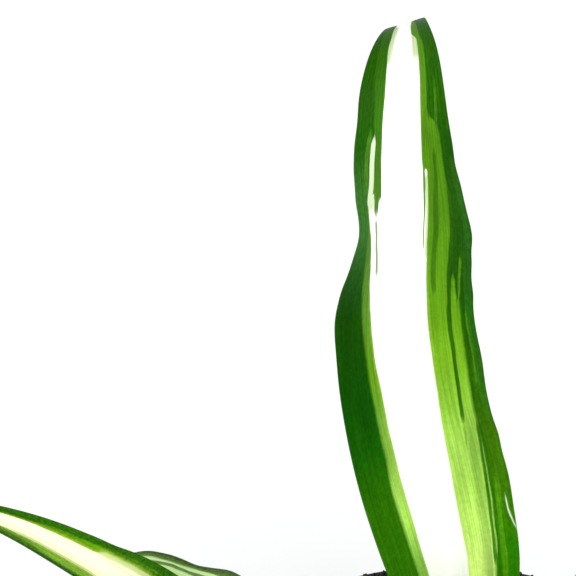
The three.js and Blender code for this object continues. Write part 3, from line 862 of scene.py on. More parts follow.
# %% Leaves round the crown
OTHER_LEAVES = [
    leaf_plan("leaf_back", 86, 112, 13, [42, 29, 10, -12, -42, -62, -70, -76, -78], [0, 0],
              ripple=(5, 2.2, 40)),
    leaf_plan("leaf_back_right", 45, 132, 15, [41, 27, 15, 4, -11, -34, -52, -62, -66], [0, -4, -8],
              ripple=(6, 2.5, 120)),
    leaf_plan("leaf_right_back", 22, 128, 14, [46, 41, 34, 22, 4, -20, -42, -54, -60], [0, 2, -4],
              outline=[0.26, 0.58, 0.9, 1, 0.97, 0.86, 0.68, 0.42, 0.05], ripple=(5, 2.6, 75)),
    leaf_plan("leaf_right", -2, 150, 16, [54, 50, 45, 36, 20, -8, -36, -54, -60], [0, 4, 2],
              ripple=(6, 3, 200)),
    leaf_plan("leaf_right_low", -21, 112, 13, [40, 31, 19, 0, -26, -48, -60, -66, -68], [0, 0],
              ripple=(5, 2, 300)),
    leaf_plan("leaf_front_right", -44, 156, 17, [53, 53, 49, 40, 18, -16, -44, -58, -62], [0, -3, -6],
              ripple=(6, 3, 20)),
    leaf_plan("leaf_front_low", -68, 120, 14, [41, 33, 20, -2, -30, -52, -64, -70, -72], [0, 4],
              ripple=(5, 2.4, 90)),
    leaf_plan("leaf_front", -92, 140, 16, [54, 53, 46, 32, 8, -24, -50, -62, -66], [0, -2, 4],
              ripple=(6, 2.8, 160)),
    leaf_plan("leaf_front_left_low", -116, 126, 14, [41, 34, 24, 6, -20, -46, -60, -66, -68], [0, 3],
              ripple=(5, 2.2, 250)),
    leaf_plan("leaf_front_left", -136, 144, 16, [55, 50, 42, 28, 4, -26, -50, -60, -64], [0, 2, -5],
              ripple=(6, 3, 330)),
    leaf_plan("leaf_left_low", -162, 104, 12, [41, 33, 18, -8, -36, -56, -66, -72, -74], [0, 4],
              ripple=(4, 2, 60)),
    leaf_plan("leaf_inner_front", -71, 118, 14, [68, 68, 65, 54, 26, -16, -46, -56, -60], [0, 2, -3],
              outline=[0.26, 0.6, 0.9, 1, 0.97, 0.86, 0.68, 0.42, 0.05], ripple=(5, 2.4, 140)),
    leaf_plan("leaf_inner_left", -159, 104, 12, [66, 62, 54, 38, 10, -20, -40, -52, -58], [0, 3, -2],
              outline=[0.3, 0.6, 0.9, 1, 0.97, 0.86, 0.68, 0.42, 0.05], ripple=(5, 2.4, 10)),
    leaf_plan("leaf_young_right", -22, 46, 8, [68, 67, 60, 48, 34], [0, 3],
              outline=[0.5, 0.9, 1, 0.8, 0.06], fold=[54, 46, 38, 30, 26]),
    leaf_plan("leaf_young_front", -118, 58, 9, [76, 70, 60, 44, 26], [0, -4],
              outline=[0.46, 0.85, 1, 0.8, 0.06], fold=[54, 44, 34, 28, 24]),
]
LOBE_COUNT = 6
lobe_draw = np.random.default_rng(41)
for other in OTHER_LEAVES:
    sides = lobe_draw.choice([-1, 1], LOBE_COUNT)
    places = lobe_draw.uniform(0.2, 0.9, LOBE_COUNT)
    spreads = lobe_draw.uniform(0.015, 0.05, LOBE_COUNT)
    heights = lobe_draw.uniform(-0.3, 0.3, LOBE_COUNT)
    other["lobes"] = list(zip(sides, places, spreads, heights))
print(len(OTHER_LEAVES), "more leaves, the longest", max(leaf["length"] for leaf in OTHER_LEAVES), "mm long")

# %% [markdown]
# The blade is a surface of two numbers: t runs from 0 at the seat to 1 at the tip, and q from -1
# at the left margin to 1 at the right one. At each t the slopes give three directions, one along
# the midrib, one to the side and one up from the upper face. The midrib is the running sum of the
# first, as a walker's track is the sum of all steps.

# %% Midrib of a leaf
SEAT_CLEARANCE = 0.3


def through(values, t):
    """A smooth curve through evenly spaced values: the cubic through the two nearest, with slopes
    from their outer neighbours."""
    v = np.asarray(values, float)
    v = np.concatenate([[2 * v[0] - v[1]], v, [2 * v[-1] - v[-2]]])
    place = np.clip(t, 0, 1) * (len(v) - 3)
    i = np.minimum(place.astype(int), len(v) - 4)
    f = place - i
    a, b, c, d = v[i], v[i + 1], v[i + 2], v[i + 3]
    return 0.5 * (2 * b + (c - a) * f + (2 * a - 5 * b + 4 * c - d) * f ** 2
                  + (3 * b - a - 3 * c + d) * f ** 3)


def blade_axes(leaf, t):
    """Directions at each t: way climbs by the pitch and leans sideways, side points to the right
    half, turned about way by the roll, and up is square to both."""
    heading = math.radians(leaf["heading"])
    pitch, lean, roll = (np.radians(through(leaf[key], t))[:, None] for key in ("pitch", "lean", "roll"))
    across = np.array([math.sin(heading), -math.cos(heading), 0])
    ahead = np.array([math.cos(heading), math.sin(heading), 0])
    rise = np.cos(pitch) * ahead + np.sin(pitch) * np.array([0, 0, 1])
    way = rise * np.cos(lean) + across * np.sin(lean)
    flat = across * np.cos(lean) - rise * np.sin(lean)
    over = np.cross(flat, way)
    return way, flat * np.cos(roll) + over * np.sin(roll), over * np.cos(roll) - flat * np.sin(roll)


def midrib(leaf, t, way):
    """The running sum of way along the leaf, shifted so that t = 0 lies just above the crown."""
    steps = (way[1:] + way[:-1]) / 2 * np.diff(t)[:, None] * leaf["length"]
    path = np.concatenate([np.zeros((1, 3)), np.cumsum(steps, 0)])
    start = np.array([np.interp(0, t, path[:, axis]) for axis in range(3)])
    heading, slope = math.radians(leaf["heading"]), math.radians(leaf["pitch"][0])
    level = math.cos(slope)
    seat = np.array([level * math.cos(heading), level * math.sin(heading), math.sin(slope)])
    return path - start + seat * (CROWN_RADIUS + SEAT_CLEARANCE) + [0, 0, CROWN_CENTRE]


t = np.linspace(0, 1, 100)
top = midrib(SHOWN_LEAVES[0], t, blade_axes(SHOWN_LEAVES[0], t)[0])[:, 2].max()
print("the tall leaf's midrib rises to", round(top), "mm above the ground")

# %% [markdown]
# Each half of the blade lifts from the midrib by its fold angle, out to a half width that the
# outline gives. Three things make it a leaf and not a folded card: the gutter is rounded, each
# half bellies a little, and the veins are fine raised pleats.

# %% Blade surface
RIPPLE_OFFSET = 115
GUTTER_ROUNDNESS = 0.07
BELLY = 0.035
PLEAT_HEIGHT = 0.035
PLEATED_WIDTH = 3
SEAT_FLARE = 0.35
FLARE_SHARE = 0.08


def fold_angles(leaf, t, q):
    """How far each half lifts: its own list, plus a ripple that is strongest at mid length."""
    height, waves, first = leaf["ripple"]
    ripple = height * np.sin(np.pi * np.clip(t, 0, 1))
    turn = 360 * waves * t + first
    later = turn + RIPPLE_OFFSET
    left = through(leaf.get("fold_left", leaf["fold"]), t) + ripple * np.sin(np.radians(turn))
    right = through(leaf.get("fold_right", leaf["fold"]), t) + ripple * np.sin(np.radians(later))
    return np.radians(np.where(q[None] < 0, left[:, None], right[:, None]))


def half_width(leaf, t, q):
    """Half the width from the outline, wider below the seat, and near each margin the bulges and
    dents of that half, each a bell curve of t."""
    flare = 1 + SEAT_FLARE * np.clip(1 - t / FLARE_SHARE, 0, 1) ** 2
    half = leaf["width"] / 2 * through(leaf["outline"], t) * flare
    half = np.repeat(half[:, None], len(q), 1)
    for side, place, spread, height in leaf["lobes"]:
        bell = height * np.exp(-(((t - place) / spread) ** 2))
        half = half + bell[:, None] * np.where(q * side > 0, q ** 2, 0)[None]
    return half


def blade_surface(leaf, t, q, veins):
    """The upper face: midrib, plus side by q times the half width times the cosine of the fold, plus
    up by a rounded |q| times its sine, plus belly and pleats."""
    way, side, up = blade_axes(leaf, t)
    half = half_width(leaf, t, q)
    angle = fold_angles(leaf, t, q)
    out = np.abs(q)[None]
    round_out = np.sqrt(out ** 2 + GUTTER_ROUNDNESS ** 2) - GUTTER_ROUNDNESS
    belly = BELLY * half * np.sin(np.pi * out) * np.sin(np.pi * np.clip(t, 0, 1))[:, None]
    narrow = np.clip(half / PLEATED_WIDTH, 0, 1)
    pleats = PLEAT_HEIGHT * np.cos(2 * np.pi * veins * q)[None] * (1 - out ** 4) * narrow
    aside = q[None] * half * np.cos(angle) - np.sign(q)[None] * belly * np.sin(angle)
    lift = round_out * half * np.sin(angle) + belly * np.cos(angle) + pleats
    return midrib(leaf, t, way)[:, None] + side[:, None] * aside[..., None] + up[:, None] * lift[..., None]


print("the tall leaf is at most", round(2 * half_width(SHOWN_LEAVES[0], t, np.ones(1)).max(), 1), "mm wide")

# %% [markdown]
# A living blade has thickness: about a third of a millimetre, more along the midrib, and more
# still where it is fleshy at the seat. So the skin goes over the upper face, round one margin,
# back along the underside and round the other margin, as one ring. The underside lies below the
# upper face along its normal, which numpy finds from the differences between neighbours. A
# Solidify modifier would give one thickness all over and square margins.

# %% Blade skin
BLADE_THICKNESS = 0.34
MIDRIB_EXTRA = 0.42
MIDRIB_SPREAD = 0.09
SEAT_DEPTH = 1.8
SEAT_EXTRA = 0.5
SEAT_SHARE = 0.17
MARGIN_SHARE = 0.55
FINE_SHARE = 0.06


def blade_thickness(t, q):
    """Thin at the margins, a soft rib in the middle, fleshy at the seat, fine at the tip."""
    rib = MIDRIB_EXTRA * np.exp(-(q / MIDRIB_SPREAD) ** 2)[None]
    flesh = SEAT_EXTRA * np.clip(1 - t / SEAT_SHARE, 0, 1)[:, None] * (1 - 0.7 * np.abs(q))[None]
    blade = BLADE_THICKNESS * (1 - (1 - MARGIN_SHARE) * np.abs(q) ** 3)[None]
    fine = np.clip((1 - t) / FINE_SHARE, 0.25, 1)[:, None]
    return (blade + rib) * fine + flesh


def blade_skin(leaf, columns, rows, round_steps, veins):
    """Rings of points over, round, under and round again, with their q, t and underside values."""
    t = np.linspace(-SEAT_DEPTH / leaf["length"], 1, rows)
    q = np.linspace(-1, 1, columns)
    upper = blade_surface(leaf, t, q, veins)
    normal = unit(np.cross(np.gradient(upper, axis=1), np.gradient(upper, axis=0)))
    lower = upper - normal * blade_thickness(t, q)[..., None]
    turn = np.linspace(0, np.pi, round_steps + 2)[1:-1, None]
    edges = []
    for column, inner in ((-1, -2), (0, 1)):
        middle = (upper[:, column] + lower[:, column])[:, None] / 2
        radius = (upper[:, column] - lower[:, column])[:, None] / 2
        away = unit(upper[:, column] - upper[:, inner])[:, None]
        outward = away * np.linalg.norm(radius, axis=-1, keepdims=True)
        edges.append(middle + radius * np.cos(turn) + outward * np.sin(turn))
    rings = np.concatenate([upper, edges[0], lower[:, ::-1], edges[1][:, ::-1]], 1)
    ring_q = np.concatenate([q, np.ones(round_steps), q[::-1], -np.ones(round_steps)])
    under = np.concatenate([0 * q, np.full(round_steps, 0.5), 0 * q + 1, np.full(round_steps, 0.5)])
    return rings, t, ring_q, under


midrib_thickness = BLADE_THICKNESS + MIDRIB_EXTRA
print("a blade is", BLADE_THICKNESS, "mm thick and", round(midrib_thickness, 2), "mm at its midrib")

# %% [markdown]
# The rings become a mesh that stands for the leaf's solid. Every point also keeps q and t as its
# UV, and whether it lies underneath as an attribute, for the paint to read. A UV that follows the
# leaf is what lets a stripe run along it, however it bends.

# %% Blade mesh
def blade_faces(columns, rows, round_steps):
    """Quads round the skin, and at each end quads from the upper to the lower face and one face
    across each rounded margin."""
    around = 2 * (columns + round_steps)
    top = np.arange(columns)
    bottom = 2 * columns + round_steps - 1 - top
    right_edge = np.arange(columns - 1, columns + round_steps + 1)
    left_edge = np.concatenate([np.arange(2 * columns + round_steps - 1, around), [0]])
    strip = np.stack([top[1:], top[:-1], bottom[:-1], bottom[1:]], -1)
    start = [strip, right_edge[None, ::-1], left_edge[None, ::-1]]
    end = [(group + (rows - 1) * around)[:, ::-1] for group in start]
    return [quads_between(rows, around), *start, *end]


def make_leaf(leaf, columns, rows, round_steps, veins, finish):
    """The leaf as a mesh that stands for its solid, with UV (q+1)/2 by t and its underside marked."""
    rings, t, ring_q, under = blade_skin(leaf, columns, rows, round_steps, veins)
    faces = blade_faces(columns, rows, round_steps)
    name = leaf["name"].replace("leaf", "blade")
    piece = make_piece(name, rings.reshape(-1, 3), faces, finish, "leaf", leaf["name"])
    mesh = piece.data
    around = rings.shape[1]
    uv = np.stack([np.tile((ring_q + 1) / 2, rows), np.repeat(t, around)], -1)
    corner = np.empty(len(mesh.loops), np.int32)
    mesh.loops.foreach_get("vertex_index", corner)
    mesh.uv_layers.new(name="blade").uv.foreach_set("vector", uv[corner].ravel().astype(np.float32))
    mark = mesh.attributes.new("underside", "FLOAT", "POINT")
    mark.data.foreach_set("value", np.tile(under, rows).astype(np.float32))
    return piece


print("a blade of 5 by 10 points has", sum(len(group) for group in blade_faces(5, 10, 1)), "faces")

# %% [markdown]
# The stripes are what this plant is grown for. Green cells make dark margins, white cells make a
# broad centre, and where the two layers overlap there is a band of paler green. The borders run
# along the veins and only sometimes step from one vein to the next, and here and there a single
# thread of one colour runs on into the other. They could be painted on an image by hand, but an
# image has a limit of sharpness, so the paint is worked out in q and t: a border is a curve of q
# along t, and a thread is a line with a start, an end and a width.

# %% Curves and threads
def along(tree, t, points):
    """A curve of values from 0 to 1 through (t, value) points, smooth between them."""
    node = tree.nodes.new("ShaderNodeFloatCurve")
    curve = node.mapping.curves[0]
    for point in points[1:-1]:
        curve.points.new(*point)
    curve.points[0].location = points[0]
    curve.points[-1].location = points[-1]
    for point in curve.points:
        point.handle_type = "AUTO_CLAMPED"
    node.mapping.update()
    tree.links.new(t, node.inputs["Value"])
    return node.outputs[0]


def thread(tree, u, t, path, half, strength=1.0, fade=0.012, softness=0.004):
    """The strength along a line through (t, q) points, half its width in q, thinning out over a fade
    in t at both ends, else 0. It is measured on u, which is (q + 1) / 2 and has the softness."""
    middle = along(tree, t, [(place, (q + 1) / 2) for place, q in path])
    away = sums(tree, "ABSOLUTE", sums(tree, "SUBTRACT", u, middle))
    start, end = path[0][0], path[-1][0]
    begun = ease(tree, t, start, start + fade)
    unended = ease(tree, t, end - fade, end, 1, 0)
    length = sums(tree, "MULTIPLY", begun, unended)
    wide = sums(tree, "MULTIPLY", length, half / 2)
    inside = sums(tree, "SUBTRACT", wide, softness)
    outside = sums(tree, "ADD", wide, softness)
    line = ease(tree, away, inside, outside, 1, 0)
    return sums(tree, "MULTIPLY", sums(tree, "MULTIPLY", line, length), strength)


def threads(tree, u, t, lines):
    """The highest share of several threads, each listed as thread() takes it."""
    total = 0.0
    for line in lines:
        total = sums(tree, "MAXIMUM", total, thread(tree, u, t, *line))
    return total


print("a thread is measured on u, so half a thread of 0.02 in q is", 0.02 / 2, "in u")

# %% [markdown]
# Greens change along a leaf too: paler and yellower at the shaded foot, deeper in the full light.
# A colour ramp on t does that. The ramp's stops are written as they look in the picture, with a
# list that tells how much light reaches each t, so that shade isn't painted on twice.

# %% Colours along a leaf
EVEN_LIGHT = [(0, LIGHT_LEVEL), (1, LIGHT_LEVEL)]


def tones(light, *stops):
    """Stops (t, red, green, blue) of display values as (t, colour) stops, in the light at each t."""
    places, levels = zip(*light)
    return [(t, seen(red, green, blue, np.interp(t, places, levels))) for t, red, green, blue in stops]


def even(red, green, blue):
    """One colour from seat to tip."""
    return tones(EVEN_LIGHT, (0, red, green, blue), (1, red, green, blue))


def ramp(tree, t, stops):
    """A colour that changes along the leaf through (t, colour) stops."""
    node = tree.nodes.new("ShaderNodeValToRGB")
    while len(node.color_ramp.elements) < len(stops):
        node.color_ramp.elements.new(0.5)
    for element, (place, colour) in zip(node.color_ramp.elements, stops):
        element.position = place
        element.color = colour
    tree.links.new(t, node.inputs[0])
    return node.outputs["Color"]


def choose(tree, share, first, second):
    """A number between first and second."""
    node = tree.nodes.new("ShaderNodeMix")
    numbers = [socket for socket in node.inputs if socket.type == "VALUE"]
    for socket, source in zip((numbers[0], *numbers[-2:]), (share, first, second)):
        feed(tree, socket, source)
    return [socket for socket in node.outputs if socket.type == "VALUE"][0]


print("an even dark green is", [round(v, 3) for v in even(34, 88, 0)[0][1]])

# %% [markdown]
# One recipe paints every leaf from that leaf's own table: the border between white and green on
# each half, where the pale band ends, how soft both edges are, its threads and its colours. Right
# at the border the first green cells are thin and show lime, so a rim of lime runs along it.

# %% Borders and greens
def curve_by_half(tree, t, right, stripes, key):
    """A curve that the table gives for each half of the leaf."""
    left = along(tree, t, stripes[f"{key}_left"])
    return choose(tree, right, left, along(tree, t, stripes[f"{key}_right"]))


def green_by_half(tree, t, right, stripes, key):
    """A green that the table gives for each half of the leaf."""
    left = ramp(tree, t, stripes[f"{key}_left"])
    return blend(tree, right, left, ramp(tree, t, stripes[f"{key}_right"]))


def stripe_borders(tree, u, t, away, stripes):
    """How green each place is, whether it lies in the pale band and in the right half, and how much
    lime shows along the border: each 0 to 1."""
    right = ease(tree, u, 0.499, 0.501)
    inner = curve_by_half(tree, t, right, stripes, "inner")
    outer = curve_by_half(tree, t, right, stripes, "band")
    sharp, soft = stripes["softness"]
    band = ease(tree, sums(tree, "SUBTRACT", outer, away), -soft, soft)
    past = sums(tree, "SUBTRACT", away, inner)
    runs = threads(tree, u, t, stripes["green_threads"])
    is_green = sums(tree, "MAXIMUM", ease(tree, past, -sharp, sharp), runs)
    is_cream = threads(tree, u, t, stripes["cream_threads"])
    near = ease(tree, past, 0.0, stripes["rim_width"], 1, 0)
    by_border = sums(tree, "MULTIPLY", near, ease(tree, past, -sharp, 0.0))
    rim = sums(tree, "MULTIPLY", along(tree, t, stripes["rim"]), sums(tree, "SUBTRACT", by_border, runs))
    is_green = sums(tree, "MULTIPLY", is_green, sums(tree, "SUBTRACT", 1.0, is_cream))
    return is_green, band, right, rim


def greens(tree, u, t, band, right, stripes):
    """The green of the margins and the pale band, with the threads that run in them."""
    pale = green_by_half(tree, t, right, stripes, "pale")
    dark = green_by_half(tree, t, right, stripes, "dark")
    green = blend(tree, band, dark, pale)
    green = blend(tree, threads(tree, u, t, stripes["mid_threads"]), green, ramp(tree, t, stripes["mid"]))
    green = blend(tree, threads(tree, u, t, stripes["pale_threads"]), green, pale)
    return blend(tree, threads(tree, u, t, stripes["dark_threads"]), green, ramp(tree, t, stripes["deep"]))


print("stripe helpers are ready; the two halves meet at u", (0.499 + 0.501) / 2)

# %% [markdown]
# The foot of a blade is pale, its very tip dries to brown, and its underside is duller. A leaf
# also lets light through, so a quarter of it is a Translucent shader of a brighter tint. Because
# the blade is a closed skin, light crosses two faces, and the tint's square root keeps the two
# together at the leaf's colour.

# %% Age and glow
PALE_FOOT = seen(226, 232, 178)
DRYING_TIP = seen(186, 168, 84)
DRY_TIP = seen(138, 100, 56)
DULL_UNDERSIDE = seen(150, 176, 128)
DULL_SHARE = 0.28
TIP_START = 0.98
TIP_END = 0.992
TIP_FADE = 0.03
GLOW_SHARE = 0.25


def weathered(tree, t, wander, colour, foot):
    """The colour with its pale foot, a tip that dries in two steps and a duller underside."""
    pale = ease(tree, t, foot * 0.25, foot, 0.75, 0)
    colour = blend(tree, pale, colour, PALE_FOOT)
    near_tip = sums(tree, "ADD", t, wander)
    drying = ease(tree, near_tip, TIP_START - TIP_FADE, TIP_START, 0, 0.6)
    colour = blend(tree, drying, colour, DRYING_TIP)
    colour = blend(tree, ease(tree, near_tip, TIP_START, TIP_END), colour, DRY_TIP)
    mark = tree.nodes.new("ShaderNodeAttribute")
    mark.attribute_name = "underside"
    return blend(tree, sums(tree, "MULTIPLY", mark.outputs["Fac"], DULL_SHARE), colour, DULL_UNDERSIDE)


def with_glow(material, tree, surface, colour):
    """Mixes the painted surface with a Translucent shader of the same colour, brightened."""
    tint = tree.nodes.new("ShaderNodeGamma")
    tree.links.new(colour, tint.inputs["Color"])
    tint.inputs["Gamma"].default_value = 0.5
    glow = tree.nodes.new("ShaderNodeBsdfTranslucent")
    tree.links.new(tint.outputs[0], glow.inputs["Color"])
    both = tree.nodes.new("ShaderNodeMixShader")
    both.inputs[0].default_value = GLOW_SHARE
    tree.links.new(surface.outputs[0], both.inputs[1])
    tree.links.new(glow.outputs[0], both.inputs[2])
    tree.links.new(both.outputs[0], tree.nodes["Material Output"].inputs["Surface"])
    return material


print("a leaf lets", f"{GLOW_SHARE:.0%}", "of its light through")

# %% [markdown]
# Veins multiply the colour by a noise that is stretched until it is all lines, patches cloud it,
# and a finer grain speckles the dark green. All of them are noise on the blade's UV, and differ
# only in how many soft cells fit across the blade and along it. The gloss is faint and tinted
# green, because a waxy leaf in white light would look milky otherwise.

# %% Leaf paint
LEAF_ROUGHNESS = 0.42
LEAF_GLOSS = 0.07
GLOSS_TINT = (0.75, 1, 0.35, 1)
WANDER_CELLS = (14, 26, 1)
VEIN_CELLS = (80, 9, 1)
PATCH_CELLS = (7, 16, 1)
GRAIN_ROWS = 200


def leaf_paint(name, stripes, seed):
    """Stripes, veins and age over Principled and Translucent, for a leaf with this table of stripes."""
    material, tree, surface = new_finish(name, LEAF_ROUGHNESS, LEAF_GLOSS)
    surface.inputs["Specular Tint"].default_value = GLOSS_TINT
    uv = tree.nodes.new("ShaderNodeUVMap")
    uv.uv_map = "blade"
    split = tree.nodes.new("ShaderNodeSeparateXYZ")
    tree.links.new(uv.outputs[0], split.inputs[0])
    t = split.outputs["Y"]
    jitter = noise(tree, uv.outputs[0], 1.0, 3, WANDER_CELLS, (0, 0, seed))
    wander = sums(tree, "MULTIPLY", sums(tree, "SUBTRACT", jitter, 0.5), stripes["wander"])
    u = sums(tree, "ADD", split.outputs["X"], wander)
    away = sums(tree, "ABSOLUTE", sums(tree, "SUBTRACT", sums(tree, "MULTIPLY", u, 2.0), 1.0))

    is_green, band, right, rim = stripe_borders(tree, u, t, away, stripes)
    green = greens(tree, u, t, band, right, stripes)
    across, grain = stripes["grain"]
    veins = noise(tree, uv.outputs[0], 1.0, 4, VEIN_CELLS, (0, 0, seed + 11))
    patches = noise(tree, uv.outputs[0], 1.0, 3, PATCH_CELLS, (0, 0, seed + 23))
    cells = noise(tree, uv.outputs[0], 1.0, 5, (across, GRAIN_ROWS, 1), (0, 0, seed + 31))
    lines = ease(tree, veins, 0.28, 0.72, 0.80, 1.20)
    clouds = ease(tree, patches, 0.3, 0.7, 0.9, 1.1)
    speckle = ease(tree, cells, 0.38, 0.62, 1 - grain, 1 + grain)
    green = blend(tree, 1.0, green, sums(tree, "MULTIPLY", lines, clouds), "MULTIPLY")
    green = blend(tree, ease(tree, band, 0, 1, 1.0, 0.45), green, speckle, "MULTIPLY")
    white = blend(tree, ease(tree, veins, 0.3, 0.7), stripes["white"], stripes["cream"])
    white = blend(tree, threads(tree, u, t, stripes["tint_threads"]), white, stripes["tint"])
    uneven = sums(tree, "MULTIPLY", rim, ease(tree, cells, 0.35, 0.6, 0.55, 1.0))
    green = blend(tree, uneven, green, stripes["rim_tint"])
    colour = weathered(tree, t, wander, blend(tree, is_green, white, green), stripes["foot"])
    tree.links.new(colour, surface.inputs["Base Color"])
    tree.links.new(ease(tree, veins, 0.25, 0.75, 0.36, 0.5), surface.inputs["Roughness"])
    relief(tree, surface, veins, 0.05, 0.5)
    return with_glow(material, tree, surface, colour)


print("veins:", VEIN_CELLS[0], "soft cells across a blade and", VEIN_CELLS[1], "along it")

# %% [markdown]
# The tall leaf is the portrait's subject, so its stripes are set one by one. Each border is a
# list of (t, distance from the midrib), from seat to tip. Near the pinch, at three fifths of its
# length, the left border runs out almost to the margin and back, and the right pale band steps in
# by several veins at the half and again at seven tenths.

# %% Borders of the tall leaf
TALL_BORDERS = {
    "inner_left": [
        (0, 0.36), (0.227, 0.392), (0.297, 0.397), (0.365, 0.405), (0.407, 0.405), (0.45, 0.44),
        (0.491, 0.478), (0.525, 0.53), (0.554, 0.615), (0.575, 0.70), (0.595, 0.775), (0.612, 0.79),
        (0.620, 0.50), (0.632, 0.468), (0.648, 0.436), (0.70, 0.424), (0.735, 0.45), (0.751, 0.475),
        (0.765, 0.455), (0.785, 0.41), (0.82, 0.3), (1, 0.2)],
    "inner_right": [
        (0, 0.30), (0.21, 0.303), (0.256, 0.300), (0.303, 0.322), (0.37, 0.36), (0.415, 0.388),
        (0.50, 0.398), (0.545, 0.412), (0.552, 0.395), (0.561, 0.372), (0.591, 0.388), (0.616, 0.396),
        (0.637, 0.41), (0.650, 0.398), (0.70, 0.412), (0.74, 0.422), (0.762, 0.405), (0.772, 0.24),
        (0.81, 0.35), (1, 0.4)],
    "band_left": [
        (0, 0.54), (0.247, 0.555), (0.305, 0.575), (0.358, 0.537), (0.412, 0.552), (0.463, 0.58),
        (0.514, 0.635), (0.56, 0.74), (0.59, 0.80), (0.62, 0.72), (0.66, 0.58), (0.685, 0.63),
        (0.703, 0.65), (0.74, 0.74), (0.77, 0.74), (1, 0.3)],
    "band_right": [
        (0, 0.66), (0.216, 0.685), (0.26, 0.705), (0.30, 0.725), (0.322, 0.755), (0.344, 0.785),
        (0.389, 0.80), (0.436, 0.815), (0.505, 0.825), (0.522, 0.70), (0.545, 0.72), (0.577, 0.75),
        (0.612, 0.77), (0.672, 0.78), (0.692, 0.61), (0.70, 0.565), (0.714, 0.58), (0.747, 0.60),
        (0.77, 0.5), (1, 0.3)],
    "rim": [(0, 0.40), (0.47, 0.38), (0.54, 0.12), (0.75, 0.08), (1, 0)],
    "rim_width": 0.05,
    "softness": (0.012, 0.030),
    "foot": 0.12,
    "wander": 0.016,
    "grain": (44, 0.13),
}
print("the tall leaf's left border has", len(TALL_BORDERS["inner_left"]), "points")

# %% [markdown]
# Threads are single veins of another colour. Each is a path of (t, q) points and half its width,
# and where they are not the usual ones, its strength, its fade and its softness. Dark ones split
# the lime band, a sliver of cream cuts into the left margin, and faint green tints the white.

